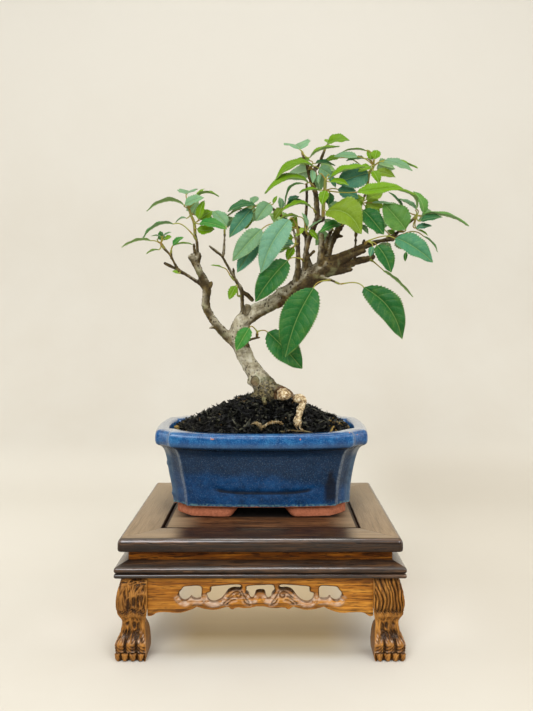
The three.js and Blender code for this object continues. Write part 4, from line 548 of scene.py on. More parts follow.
def smooth_loop(points, steps=5):
    """A smooth closed line through the points."""
    rows = [np.array(point, float) for point in points]
    return np.array([catmull(*(rows[(k + j) % len(rows)] for j in (-1, 0, 1, 2)), t)
                     for k in range(len(rows)) for t in np.arange(steps) / steps])


def tube(centres, radii, sides, bulge=None):
    """A round bar along the centres. bulge(centre, direction) adds to the radius."""
    centres = [Vector(c) for c in centres]
    side, rings = Vector((0.3, 1, 0.1)), []
    for k, centre in enumerate(centres):
        along = (centres[min(k + 1, len(centres) - 1)] - centres[max(k - 1, 0)]).normalized()
        side = (side - along * side.dot(along)).normalized()
        across = along.cross(side)
        ring = []
        for i in range(sides):
            angle = 2 * math.pi * i / sides
            out = side * math.cos(angle) + across * math.sin(angle)
            ring.append(centre + out * (radii[k] + (bulge(centre, out) if bulge else 0)))
        rings.append(ring)
    return loft(rings)


def chaikin(points, times, closed=True):
    """A line with its corners cut, again and again."""
    points = np.asarray(points, float)
    for _ in range(times):
        after = np.roll(points, -1, 0) if closed else points[1:]
        here = points if closed else points[:-1]
        cut = np.stack([0.75 * here + 0.25 * after, 0.25 * here + 0.75 * after], 1).reshape(-1, points.shape[1])
        points = cut if closed else np.concatenate([points[:1], cut, points[-1:]])
    return points


def roughen(points, amount, size):
    """Moves points by a smooth random field, for worn and hand-made surfaces."""
    return np.array([Vector(p) + noise.noise_vector(Vector(p) / size) * amount for p in points])


def linear(colour):
    return tuple((c / 255 / 12.92 if c <= 10 else ((c / 255 + 0.055) / 1.055) ** 2.4) for c in colour) + (1.0,)


class Field:
    """A value or colour inside a material, which numbers and other fields join by + - * / and the methods here."""

    def __init__(self, made, socket):
        self.made, self.socket = made, socket

    def maths(self, kind, other=0.0, clamp=False):
        return self.made.node("Math", {0: self, 1: other}, operation=kind, use_clamp=clamp)

    def __add__(self, other):
        return self.maths("ADD", other)

    def __sub__(self, other):
        return self.maths("SUBTRACT", other)

    def __rsub__(self, other):
        return self.made.node("Math", {0: other, 1: self}, operation="SUBTRACT")

    def __mul__(self, other):
        return self.maths("MULTIPLY", other)

    def __truediv__(self, other):
        return self.maths("DIVIDE", other)

    def __abs__(self):
        return self.maths("ABSOLUTE")

    def band(self, low, high, start=0.0, end=1.0):
        """The value from low to high, mapped smoothly on to start to end."""
        return self.made.node("MapRange", {0: self, 1: low, 2: high, 3: start, 4: end},
                              interpolation_type="SMOOTHSTEP")

    def ramp(self, *stops):
        """Colours by the value, each stop its place and then its sRGB colour."""
        made = self.made.node("ValToRGB", {"Fac": self}, "Color")
        elements = made.socket.node.color_ramp.elements
        while len(elements) < len(stops):
            elements.new(0.5)
        for element, (position, *colour) in zip(elements, stops):
            element.position, element.color = position, linear(colour)
        return made

    def under(self, *coats):
        """This colour below others, each (share, colour)."""
        colour = self
        for share, over in coats:
            colour = self.made.node("Mix", {0: share, 6: colour, 7: over}, 2, data_type="RGBA")
        return colour


class Finish:
    """A material's nodes. Every texture is read in the part's own frame or from a mesh's marks."""

    def __init__(self, name, owner=None, shader="Principled BSDF", **settings):
        self.material = owner or bpy.data.materials.new(name)
        self.material.use_nodes = True
        self.tree, self.places = self.material.node_tree, {}
        self.shader = self.tree.nodes[shader]
        self.set(**settings)

    def set(self, **settings):
        for name, value in settings.items():
            self.feed(self.shader.inputs[name.replace("_", " ")], value)
        return self.material

    def feed(self, socket, value):
        """Joins a field to a socket, or sets it to a number, a vector or an sRGB colour."""
        if isinstance(value, Field):
            self.tree.links.new(value.socket, socket)
        else:
            socket.default_value = linear(value) if socket.type == "RGBA" else value

    def node(self, kind, inputs, out=0, **settings):
        made = self.tree.nodes.new("ShaderNode" + kind)
        for name, value in settings.items():
            setattr(made, name, value)
        for key, value in inputs.items():
            self.feed(made.inputs[key], value)
        return Field(self, made.outputs[out])

    def place(self, stretch=(1, 1, 1)):
        """Millimetres in the part's frame, stretched along each axis."""
        if stretch not in self.places:
            coordinate, scale = self.node("TexCoord", {}, "Object"), [1000 * s for s in stretch]
            self.places[stretch] = self.node("Mapping", {"Vector": coordinate, "Scale": scale})
        return self.places[stretch]

    def noise(self, size, detail=4.0, rough=0.55, twist=0.0, stretch=(1, 1, 1)):
        return self.node("TexNoise", {"Vector": self.place(stretch), "Scale": 1 / size, "Detail": detail,
                                      "Roughness": rough, "Distortion": twist})

    def cells(self, size, feature="F1", stretch=(1, 1, 1)):
        return self.node("TexVoronoi", {"Vector": self.place(stretch), "Scale": 1 / size}, feature=feature)

    def mark(self, name, part="Fac"):
        return self.node("Attribute", {}, part, attribute_name=name)

    def parts(self, vector):
        split = self.node("SeparateXYZ", {"Vector": vector}).socket.node
        return [Field(self, socket) for socket in split.outputs]

    def bump(self, height, distance, strength):
        """distance in millimetres."""
        return self.node("Bump", {"Height": height, "Distance": distance * MM, "Strength": strength})


# The stand

def wood(name, grain, colours, gloss=0.3, worn=WORN_DARK, streak=4.0, contrast=1.0, sheen=0.2, sheen_ends=(60, 76)):
    """Waxed hardwood: streaks and short open pores along the grain (0 for x, 1 for y, 2 for z).

    Gives the finish with its colour and roughness fields."""
    made = Finish(name, Specular_IOR_Level=sheen, Coat_Roughness=0.16)

    def along(share, *look):
        stretch = [1, 1, 1]
        stretch[grain] = share
        return made.noise(*look, stretch=tuple(stretch))

    dark, mid, light = colours
    broad, fine = along(0.05, streak, 5, 0.62, 0.5), along(0.035, 1.5, 4, 0.7)
    pores = along(0.13 * contrast, 1.15, 2, 0.5).band(0.55, 0.62)
    x, y, _ = made.parts(made.place())
    # painted sheen: the backdrop's glare on the waxed tops, paler towards the back
    painted_sheen = broad.ramp((0.3, 120, 100, 74), (0.5, 146, 124, 96), (0.7, *PAINTED_SHEEN)).under(
        (y.band(-60, 60, 0, 0.55), FAR_PAINTED_SHEEN))
    # deep: old wax in carving and grooves, and painted shade under the noses, in the gaps and joints, and along the
    # legs' tops
    deep = made.mark("deep") * made.noise(0.8, 3).band(0.2, 0.6, 0.6, 1.0)
    colour = broad.ramp((0.3, *dark), (0.48, *mid), (0.68, *light)).under(
        (fine.band(0.42, 0.62, 0, 0.6 * contrast), dark),
        (fine.band(0.46, 0.3, 0, 0.45), light),
        (pores * (0.7 * contrast), [0.35 * c for c in dark]),
        (made.noise(30, 3).band(0.45, 0.7, 0, 0.4 * contrast), dark),
        (made.mark("wear").maths("MULTIPLY", fine.band(0.35, 0.6), clamp=True), worn),
        # the painted sheen, laid on the marked tops towards their ends
        (made.mark("dry") * abs(x - (MIDDLE_X + 3)).band(*sheen_ends), painted_sheen),
        (deep.maths("MULTIPLY", 0.92, clamp=True), OLD_WAX_AND_SHADE))
    rough = broad.band(0.2, 0.8, gloss, gloss + 0.12)
    made.set(Base_Color=colour, Roughness=rough, Coat_Weight=made.mark("shine") * 0.9,
             Normal=made.bump(fine * 0.7 - pores, 0.16, 0.7))
    return made, colour, rough


def carved(name, grain, colours):
    """Honey wood with dark wax left in its carving, painted shade where its marks add it, and its high places worn
    pale.
    """
    made, colour, _ = wood(name, grain, colours, gloss=0.38, worn=WORN_HONEY, streak=3.2, contrast=0.75)
    return made.set(Base_Color=colour.under((made.mark("deep").band(-0.05, -0.6, 0, 0.4), RIDGE)))


def panel_finish():
    """The panel's wood, with a painted sheen at its ends and a painted near-black shadow under the pot."""
    made, colour, rough = wood("panel_wood", 0, PANEL_WOOD, gloss=0.48, streak=3.0, sheen_ends=(48, 78))
    x, y, _ = made.parts(made.place())
    # painted shadow: near black and without gloss where the pot stands over it
    inside = abs(x - MIDDLE_X).band(76, 60) * abs(y - (MIDDLE_Y + POT_Y)).band(41, 34) * 0.95
    return made.set(Base_Color=colour.under((inside, POT_SHADOW_BLACK)), Roughness=rough.maths("MAXIMUM", inside))


def halves(turns, out=0.0):
    """Half the length of a side, and how far its face is from the middle."""
    pair = HALF_X + out, HALF_Y + out
    return pair[::-1] if turns % 2 else pair


def quarter_turns(points, turns):
    points = np.array(points, float)
    for _ in range(turns):
        points[:, 0], points[:, 1] = -points[:, 1].copy(), points[:, 0].copy()
    return points


def rounded(d, u, r):
    """A place in a square corner, d along and u in from the edge, moved as if the corner were rounded off."""
    if d >= r or u >= r:
        return d, u
    angle = (1 - (d - u) / (r - u)) * math.pi / 4
    return r - (r - u) * math.sin(angle), r - (r - u) * math.cos(angle)


def mitred_bar(profile, marks, corner, turns, out=0.0):
    """A worn bar with mitred ends. profile: [in from the face, z]; marks: a value of each for each of its points."""
    half, front = halves(turns, out)
    left = np.array([[(d + JOINT - half, u - front, z) for d, u, z in
                      (rounded(u + start, u, corner) + (z,) for u, z in profile)] for start in MITRE_ROWS])
    right = left[::-1] * np.array([-1, 1, 1])
    count = int(half / 2.5)
    rings = [*left, *(left[-1] + (right[0] - left[-1]) * k / count for k in range(1, count)), *right]
    points, faces = loft(rings)
    points = quarter_turns(points, turns)
    points = np.clip(roughen(points, 0.16, 9), points.min(0), points.max(0))
    return points, faces, {name: np.tile(values, len(rings)) for name, values in marks.items()}


def nosed(top, bottom, width, nose, drop):
    """A board's edge profile with a round nose, and how worn and shiny each point is, how much old wax and painted
    shade darken it, and how much painted sheen lightens it.
    """
    profile = [(1.3, bottom), (0.5, bottom + 0.3), (0.1, bottom + 1.0), (0, bottom + 1.9)]
    profile += [(nose * (1 - math.cos(a)), top - drop + drop * math.sin(a)) for a in np.linspace(0, math.pi / 2, 9)]
    profile += [(u, top) for u in (nose + 1.5, nose + 4, 0.5 * width, width - 1.2)]
    profile += [(width - 0.4, top - 0.15), (width, top - 0.6), (width, bottom)]
    inner = [0] * 7
    # deep paints shade on the nose's lower face and underside, and in the gap beside the panel
    return profile, {"wear": [0.1, 0.15, 0.1, 0, 0, 0, 0, 0.1, 0.25, 0.3, 0.2, 0.15, 0.1] + inner,
                     "shine": [0, 0, 0, 0.2, 0.5, 0.8, 1, 1, 1, 1, 0.8, 0.4, 0.1] + inner,
                     "deep": [0.75, 0.75, 0.7, 0.62, 0.5, 0.3] + [0] * 10 + [0.25, 1, 1, 1],
                     "dry": [0] * 11 + [0.6, 0.9, 1, 1, 1, 1, 0, 0, 0]}


def stand_top():
    profile, marks = nosed(TABLE, TABLE - RAIL_THICK, RAIL_WIDTH, nose=3.6, drop=4.8)
    for turns, side in enumerate(SIDES):
        points, faces, spread = mitred_bar(profile, marks, 3.2, turns)
        rail = Shape()
        rail.add(points, faces, **spread)
        rail.piece(f"rail_{side}", DARK[turns % 2], "dark_wood", [f"top_rail_{side}"])
    inner, top = RAIL_WIDTH + 1, TABLE - 0.5
    levels = [(0.8, top - PANEL_THICK), (0, top - 6.2), (0, top - 0.9), (0.25, top - 0.3), (0.9, top), (2.0, top),
              (2.6, top)]
    panel = Shape()
    # the panel's sides and outer rim take painted shade, for the gaps by the rails, and the rim of its top a painted
    # sheen
    panel.add(*board(HALF_X - inner, HALF_Y - inner, levels, (0.5, 0)),
              deep=np.repeat([1, 1, 1, 1, 1, 1, 0], 4), dry=np.repeat([0, 0, 0, 0, 0, 0.95, 0.95], 4))
    panel.piece("panel", PANEL, "panel_wood", ["top_panel"])


def batten():
    """The strip under the panel that it rests on."""
    shape = Shape()
    shape.add(*board(HALF_X - WAIST_INSET - WAIST_THICK - 0.6, 13, [(0.5, 75.1), (0, 75.6), (0, 81.5), (0.5, 82)]))
    shape.piece("batten", PANEL, "panel_wood", ["top_batten"], sharp=30)


def framed(name, rows, corner, out, finish, slot):
    """A whole frame of four mitred bars. rows: [in from the face, z, wear, shine, deep]"""
    shape = Shape()
    u, z, wear, shine, deep = np.array(rows).T
    marks = {"wear": wear, "shine": shine, "deep": deep}
    for turns in range(4):
        points, faces, spread = mitred_bar([*zip(u, z)], marks, corner, turns, out)
        shape.add(points, faces, **spread)
    shape.piece(name, finish, slot, [f"{name}_frame"])


def stand_mouldings():
    # the waist's lower and upper edges take painted shade, where it meets the moulding and the top
    framed("waist", rows_of(f"0 {MOULDING_TOP} 0 0 0.8, 0 78 0 0 0, 0 82 0 0 0.6, {WAIST_THICK} 82 0 0 0,"
                            f"{WAIST_THICK} {MOULDING_TOP} 0 0 0"), 0.6, -WAIST_INSET, HONEY, "honey_wood")
    framed("moulding", [(u, MOULDING_BASE + z, *marks) for u, z, *marks in LIP], 1.6, 2.2, DARK[0], "dark_wood")


def distances(x, z, line, closed=True):
    """How far each place is from a line of points, and whether it's inside a closed one."""
    line = np.asarray(line, float)
    far, inside = np.full(x.shape, 1e9), np.zeros(x.shape, bool)
    for k in range(len(line) if closed else len(line) - 1):
        (ax, az), (bx, bz) = line[k], line[(k + 1) % len(line)]
        dx, dz = bx - ax, bz - az
        t = np.clip(((x - ax) * dx + (z - az) * dz) / max(dx * dx + dz * dz, 1e-9), 0, 1)
        far = np.minimum(far, np.hypot(x - ax - t * dx, z - az - t * dz))
        if closed and abs(dz) > 1e-9:
            inside ^= ((az > z) != (bz > z)) & (x < ax + (z - az) * dx / dz)
    return far, inside


def cut_sheet(x, z, field):
    """The part of a grid where field is above 0, its border following the field: places, faces, border edges."""
    places, faces, found = [], [], {}

    def node(key, place):
        if key not in found:
            found[key] = len(places)
            places.append(place)
        return found[key]

    def crossing(a, b):
        a, b = sorted((a, b))
        t = field[a] / (field[a] - field[b])
        return node((a, b), tuple(m[a] + (m[b] - m[a]) * t for m in (x, z)))

    for i in range(x.shape[0] - 1):
        for j in range(x.shape[1] - 1):
            ring = [(i, j), (i + 1, j), (i + 1, j + 1), (i, j + 1)]
            inside = [field[corner] > 0 for corner in ring]
            face = []
            for k, corner in enumerate(ring):
                after = (k + 1) % 4
                if inside[k]:
                    face.append(node(corner, (x[corner], z[corner])))
                if inside[k] != inside[after]:
                    face.append(crossing(corner, ring[after]))
            if face:
                faces.append(tuple(face))
    edges = {(f[k], f[(k + 1) % len(f)]) for f in faces for k in range(len(f))}
    return np.array(places), faces, [e for e in edges if (e[1], e[0]) not in edges]


def grain_at(x, z, wide, tall, seed):
    return np.array([noise.noise(Vector((a / wide, b / tall, seed))) for a, b in zip(x, z)])


def apron(side, turns):
    """A pierced, carved board between two legs."""
    along, front = halves(turns)
    length = along + 1.3 - 24.2
    stretch = length / APRON_EDGE[-1][0]
    lower = [(d * stretch - length, z) for d, z in APRON_EDGE]
    lower = chaikin(lower + [(-x, z) for x, z in reversed(lower[:-1])], 1, closed=False)
    outline = [*lower.tolist(), (length, MOULDING_BASE), (-length, MOULDING_BASE)]
    holes = [[(s * x, z) for x, z in hole] for hole in PIERCINGS for s in (1, -1)] + [MIDDLE_PIERCING]
    holes = [smooth_loop([(x * stretch, z) for x, z in hole]) for hole in holes]
    step = APRON_GRID
    x, z = np.meshgrid(np.arange(-length - step, length + 2 * step, step),
                       np.arange(31, MOULDING_BASE + 2 * step, step), indexing="ij")
    far, inside = distances(x, z, outline)
    field = np.where(inside, far, -far) + 1e-4
    for hole in holes:
        far, inside = distances(x, z, hole)
        field = np.minimum(field, np.where(inside, -far, far) + 1e-4)
    places, faces, border = cut_sheet(x, z, field)
    x, z = places.T
    edge, _ = distances(x, z, lower, False)
    depth, worn, deep = 0.8 * (1 - smooth(0, 1.3, edge)), 0, 0.5 * (1 - smooth(0.3, 1.4, np.abs(edge - 2.2)))
    patchy = 0.75 + 0.9 * grain_at(x, z, 4.2, 2.6, 2)
    for hole in holes:
        far, _ = distances(x, z, hole)
        middle = hole[:, 1].mean()
        below = smooth(middle + 0.5, middle - 3, z)
        depth += (0.5 + 1.2 * below) * (1 - smooth(0, 0.8 + 2.6 * below, far))
        worn += below * (1 - smooth(1.4, 4.2, far)) * 1.1 * patchy
        deep += (1 - below) * (1 - smooth(0.2, 1.2, far)) + 0.35 * below * (1 - smooth(0, 0.6, np.abs(far - 3.3)))
    for curl in CURLS:
        for s in (1, -1):
            far, _ = distances(x, z, spline([(s * cx * stretch, cz) for cx, cz in curl], 5), False)
            depth += 1 - smooth(0, 0.8, far)
            deep += 1 - smooth(0, 0.75, far)
            worn += 0.55 * smooth(0.5, 0.9, far) * (1 - smooth(1.3, 2.2, far))
    depth += 0.12 + 0.22 * grain_at(x, z, 5, 1.6, 4)
    face_y = -front + 3
    points = np.concatenate([np.stack([x, face_y + np.clip(depth, 0, 2.4), z], 1),
                             np.stack([x, np.full(len(x), face_y + APRON_THICK), z], 1)])
    n = len(x)
    solid = list(faces) + [tuple(i + n for i in reversed(face)) for face in faces]
    solid += [(b, a, a + n, b + n) for a, b in border]
    shape = Shape()
    shape.add(quarter_turns(points, turns), outward(points, solid), wear=np.tile(np.clip(worn, 0, 1), 2),
              deep=np.tile(np.clip(deep, 0, 1), 2))
    shape.piece(f"apron_{side}_carved", CARVED[turns % 2], "honey_wood", [f"apron_{side}"], sharp=60)


def pits(s, z, wide, tall, seed):
    """0 on the ridges of a net of tall cells, towards 1 in their middles."""
    warp = 0.4 * noise.noise(Vector((s / 4, z / 4, seed)))
    near, _ = noise.voronoi(Vector((s / wide + warp, z / tall + 0.4 * warp, seed)))
    return min(1.0, max(0.0, (near[1] - near[0] - 0.06) / 0.3))


def swells(value, pitch):
    return abs(math.sin(math.pi * value / pitch))


def bell(value, middle, reach):
    return math.exp(-((value - middle) / reach) ** 2)


def leg_carving(s, z, width, wild):
    """How far the leg is cut in at s along its outer faces from the corner (mm), and how worn it is there."""
    def rise(low, high):
        return float(smooth(low, high, z))

    def split(count, spare, start):
        """The face in equal shares: how far through its share the place is, and how far from a gap."""
        wide = (width + spare) / count
        share = (a + start * wide) % wide / wide
        return share, min(share, 1 - share) * wide

    a = abs(s)
    # fur on the shoulder: a net of tufts (wild), or flowing strands, with a band of hatching above
    bow = 0.006 * (z - 47) ** 2 * (0.25 - a / width) * 2
    flow = bow + 2.0 * noise.noise(Vector((s / 8, z / 10, wild)))
    flowing = 1.5 * (1 - swells(a + flow + 0.9, 2.6) ** 0.7) + 0.35 * pits(s, z, 2.2, 12, 7)
    swirl = math.hypot(a - 0.75 * width, (z - 46) / 1.7)
    netted = 1.25 * pits(s, z, 2.7, 9.5, 2) * (0.55 + 0.45 * swells(swirl, 1.9))
    band = rise(55, 56.5) * wild
    hair = netted * wild + flowing * (1 - wild)
    cut = rise(34, 38.5) * rise(62.6, 60.5) * (hair * (1 - band) + 1.1 * pits(s, z, 5.5, 1.3, 3) * band)
    fringe = bell(z + 1.2 * wild * math.sin(a / 2.6), 36.8, 2.2)
    zigzag = abs((a / 5.2 + 0.1) % 1 - 0.5) * 5.2
    cut += fringe * swells(z + zigzag * (1.2 - 0.4 * wild), 1.9) ** 1.5
    # the ankle's hollows
    middle = math.exp(-((a - 0.46 * width) / (0.36 * width)) ** 4)
    cut += rise(13.5, 18) * rise(33.5, 28) * middle * (1.15 * pits(s, z, 3.0, 8.5, 5) + 0.15)
    # the paw's toes
    place, gap = split(TOES, 1.2, 0.4 * TOES / (width + 1.2))
    dome = math.sin(math.pi * place) ** 0.7
    paw = rise(4.6, 5.8) * (1 - rise(13, 24))
    cut += paw * (1.7 * bell(gap, 0, 0.95) - 0.5 * dome * bell(z, 12.4, 2.4) + 0.2)
    cut += paw * 0.8 * swells(z * 0.8 + 2.2 * dome + a * 0.5, 2.0) ** 2 * rise(12.5, 10)
    cut += 0.7 * pits(s, z, 1.5, 7, 9) * rise(11, 14) * rise(24, 19)
    cut += 0.95 * bell(z, 5.4, 0.55)
    # the claws below them
    nail, gap = split(CLAWS, 1.0, 0.28)
    claw = 1 - rise(4.8, 5.6)
    cut += claw * (2.1 * bell(gap, 0, 0.45 + 1.25 * max(0.0, 1 - (z - FLOOR) / 5.6)) - 0.35 * math.sin(math.pi * nail))
    cut += claw * 0.5 * swells(nail * 3.2 + z / 4, 1) ** 3
    scuff = max(0.0, noise.noise(Vector((s / 1.1, z / 3.2, 8)))) * 2.2
    return cut, scuff * bell(z, 15.5, 3.4) + 0.6 * bell(z, 6.4, 0.5)


def leg(corner, sx, sy):
    cx, cy = HALF_X + 1.3, HALF_Y + 1.3
    wild = 1.0 if sx < 0 else 0.0
    rings, worn, deep = [], [], []
    for z, inset, width, hollow in spline(LEG_LEVELS, 0.5):
        ring = []
        for k in range(-LEG_FACE_STEPS, LEG_FACE_STEPS + 1):
            s = width * k / LEG_FACE_STEPS
            d, u = rounded(abs(s), 0.0, LEG_CORNER)
            turn = smooth(LEG_CORNER, 0, abs(s)) * math.pi / 4
            cut, wear = leg_carving(s, z, width, wild)
            cut = cut * float(smooth(0, 1.5, width - abs(s))) + 0.2
            pair = inset + d + cut * math.sin(turn), inset + u + cut * math.cos(turn)
            ring.append(pair if s < 0 else pair[::-1])
            worn.append(wear)
            # painted shade along the leg's top, under the moulding, beside the wax in its carving
            deep.append(min(1, max(-0.6, (cut - 0.55) * 1.35) + 0.5 * float(smooth(58.5, 62, z))))
        inner = [(inset + (width - hollow) * t, inset + width - hollow * t) for t in np.linspace(0, 1, 5)[1:]]
        ring += inner + [pair[::-1] for pair in inner[-2::-1]]
        worn += [0] * 7
        deep += [0] * 7
        rings.append([(sx * (cx - x), sy * (cy - y), z) for x, y in ring])
    points, faces = loft(rings)
    shape = Shape()
    shape.add(points, faces, wear=np.clip(worn, 0, 1), deep=deep)
    shape.piece(f"leg_{corner}_carved", CARVED[2], "honey_wood", [f"leg_{corner}"], sharp=70)


# The pot and its soil

def pot_plan(inset):
    """The front right quarter of the pot's outline: [x, y, share of the rim's dip]."""
    hx, hy, step = POT_WIDTH / 2 - inset, POT_DEPTH / 2 - inset, POT_STEP
    flat, back = hx - POT_CUT, hy - POT_CUT
    long_side = [(flat * s, hy + POT_SWELL * (1 - s ** 2), 1 - s ** 3.7) for s in np.linspace(0, 1, 34)]
    corner = chaikin([(flat - 2.2, hy + 0.25, 0.1), (flat - 0.5, hy + 0.05, 0), (flat + 0.5, hy - 0.8, 0),
                      (flat + 0.75, hy - step + 0.3, 0), (flat + 1.4, hy - step - 0.5, 0),
                      (0.5 * (flat + 1.6 + hx - step), 0.5 * (hy - step + back + 0.8) - 0.4, 0),
                      (hx - step - 0.3, back + 1.5, 0), (hx - step + 0.4, back + 0.8, 0),
                      (hx - 0.8, back + 0.5, 0), (hx, back - 0.5, 0), (hx + 0.1, back - 2, 0)], 1, closed=False)
    short_side = [(hx + 0.1 + (POT_SIDE_SWELL - 0.1) * (1 - (1 - s) ** 2), (back - 2) * (1 - s), 0)
                  for s in np.linspace(0.12, 1, 14)]
    return [row for row in long_side if row[0] < flat - 2.4] + corner.tolist() + short_side


def pot_ring(z, inset, sag=0.0):
    quarter = pot_plan(inset)
    runs = (1, -1, quarter), (1, 1, quarter[-2::-1]), (-1, 1, quarter[1:]), (-1, -1, quarter[-2:0:-1])
    return np.array([(sx * x, sy * y + POT_Y, TABLE + z - sag * dip) for sx, sy, run in runs for x, y, dip in run])


def glaze_marks(points):
    """edge: thin over the upright corners; side: the cut-off corners; drip: a dark run; glare: the rim's top."""
    x, y, z = points.T
    height = z - TABLE
    levels, insets, _ = np.array(POT_WALL[1:RIM_TOP]).T
    inset = np.interp(height, levels, insets)
    hx, hy = POT_WIDTH / 2 - inset, POT_DEPTH / 2 - inset
    flat, back = hx - POT_CUT, hy - POT_CUT
    ax, ay = np.abs(x), np.abs(y - POT_Y)
    edges = (flat + 0.2, hy - 0.3), (hx - 0.3, back), (flat + 1.5, hy - POT_STEP - 0.6)
    edge = np.max([np.exp(-((ax - cx) ** 2 + (ay - cy) ** 2) / 0.8) for cx, cy in edges], 0)
    drip = smooth(1.4, 0.8, np.abs(x - 58.6) / (1.6 + 2.8 * smooth(40, 24, height))) * (y < 0)
    return {"edge": edge * smooth(75, 71, height), "drip": drip * smooth(10, 17, height) * smooth(43, 36, height),
            "side": smooth(flat - 0.2, flat + 1.2, ax) * smooth(12, 8, ay - back + 8),
            "glare": smooth(70, 73, height)}


def fill_between(points, outer, holes, up):
    """A flat floor inside an outline, round two openings, the left one first. All run counter-clockwise."""
    def run(ring, way):
        """The ring from its left end on to its right end (way 1), or from right to left."""
        x = [points[i][0] for i in ring]
        a, b = (min(range(len(ring)), key=lambda k: (x[k] - end) ** 2 + (points[ring[k]][1] - POT_Y) ** 2)
                for end in (min(x), max(x))[::way])
        return [ring[(a + k) % len(ring)] for k in range((b - a) % len(ring) + 1)]

    faces = []
    for way in (1, -1):
        face = run(outer, way)
        for hole in holes[::-way]:
            face += run(hole, way)[::-1]
        faces.append(tuple(face if up else face[::-1]))
    return faces


def shaped_by_hand(points):
    """The wall's thumbed lumps, its pressed line and the slight waves of a hand-pressed pot."""
    for x, z in ((-81, 136), (-75.6, 110)):
        share = np.exp(-((points[:, 0] - x) ** 2 + (points[:, 2] - z) ** 2) / 1.9 ** 2)
        share *= np.abs(points[:, 1] + 36) < 14
        points = points - np.array([0.7, 0.7, 0]) * (share * 1.6)[:, None]
    x, y, z = points.T
    height, away = z - TABLE, y - POT_Y
    level = 21.4 + LINE_RISE * ((x - LINE_MIDDLE) / LINE_REACH) ** 4
    cut = smooth(-44, -36, x) * smooth(50, 42, x) * 0.6 * np.exp(-((height - level - 0.3) / 1.6) ** 2)
    points[:, 1] -= np.sign(away) * cut * ((np.abs(away) > 36) & (height > 12) & (height < 36))
    moved = []
    for p in points:
        soft = noise.noise(Vector(p) / 21) * 0.28 + noise.noise(Vector(p) / 6) * 0.09
        away = p - np.array([0, POT_Y, p[2]])
        lean = 1.4 * bell(p[2] - TABLE, 34, 13) * float(smooth(-40, -76, p[0]))
        moved.append(p - away / max(np.linalg.norm(away), 1) * (0.3 + soft) * 0.8 - np.array([lean, 0, 0]))
    return np.array(moved)


def pot_foot(sx, sy):
    """One corner foot: an L of clay under the corner, its ends leaning away from the slots."""
    inset, width, tall = 18.0, 14.0, 9.1
    hx, hy = POT_WIDTH / 2 - inset, POT_DEPTH / 2 - inset
    flat, back, side = hx - POT_CUT, hy - POT_CUT, hx + POT_SIDE_SWELL
    rings = []
    for z in (0, 0.35, 1.2, 3, 5, 7, 8.4, 9.6):
        soft = 0.5 * (1 - min(1, z / 1.2)) + 0.3
        gap, side_gap = 25 - 7 * z / tall + soft, 15 - 5 * z / tall + soft
        swell = POT_SWELL * (1 - (gap / flat) ** 2)
        outline = [(gap, hy + swell - soft), (0.55 * hx, hy + POT_SWELL * 0.6 - soft), (flat - 2, hy - soft + 0.3),
                   (flat + 1, hy - 2 - soft * 0.7), (hx - 2.2 - soft * 0.7, back + 1), (hx - soft, back - 2),
                   (side - soft, side_gap), (side - width + soft, side_gap), (hx - width + soft, hy - width - 6),
                   (hx - width - 6, hy - width + soft), (gap, hy - width + swell + soft)]
        rings.append([(sx * x, POT_Y + sy * y, TABLE + z) for x, y in chaikin(outline, 2)])
    points, faces = loft(rings)
    return roughen(points, 0.25, 7), faces


def pot():
    rings, glaze = [], []
    for z, inset, glazed in spline(POT_WALL, 3):
        rings.append(pot_ring(z, inset, POT_SAG * float(smooth(52, 62, z))))
        glaze += [glazed] * len(rings[-1])
    points, faces = loft(rings, caps=False)
    # the wall's inner and outer feet close into a floor above and a base below, with drains through them
    n, start, turns = len(rings[0]), len(points), np.linspace(0, 2 * math.pi, DRAIN_STEPS + 1)[:-1]
    drains = [np.stack([side * DRAIN_X + DRAIN_RADIUS * np.cos(turns), POT_Y + DRAIN_RADIUS * np.sin(turns),
                        0 * turns + TABLE + z], 1) for z in (POT_FLOOR, POT_BASE) for side in (-1, 1)]
    holes = np.arange(start, start + 4 * DRAIN_STEPS).reshape(4, -1).tolist()
    points = np.concatenate([points, *drains])
    faces += fill_between(points, list(range(start - n, start)), holes[:2], True)
    faces += fill_between(points, list(range(n)), holes[2:], False)
    for high, low in zip(holes[:2], holes[2:]):
        faces += [(low[i], low[i - 1], high[i - 1], high[i]) for i in range(DRAIN_STEPS)]
    shape = Shape()
    shape.add(shaped_by_hand(points), faces, glaze=glaze + [0] * 4 * DRAIN_STEPS, **glaze_marks(points))
    for sx in (-1, 1):
        for sy in (-1, 1):
            shape.add(*pot_foot(sx, sy), glaze=0.0)
    shape.piece("glazed_pot", glaze_finish(), "blue_glaze", ["pot"], sharp=75)


def soil_height(share):
    """The CAD heap's height, its crumbs left to the flakes."""
    return TABLE + SOIL_EDGE + HEAP_HEIGHT * (1 - np.power(share, 1.12))


def lumps(x, y, share):
    """The heap's uneven build-up, none of it by the pot's wall."""
    wave = noise.noise(Vector((x, y, 0)) / 13) * 2.6 + noise.noise(Vector((x, y, 9)) / 5) * 1.5
    dip = 3.4 * math.exp(-((x - 20) ** 2 + (y + 34) ** 2) / 60)
    return (wave - dip) * min(1, (1 - share) * 4)


def reach_of(outline):
    """A function of the angle round the heap's middle: how far the outline is from it."""
    away = outline[:, :2] - np.array([HEAP_X, HEAP_Y])
    angles = np.arctan2(away[:, 1], away[:, 0]) % (2 * math.pi)
    order = np.argsort(angles)
    table = angles[order], np.hypot(*away.T)[order]
    return lambda angle: np.interp(angle, *table, period=2 * math.pi)


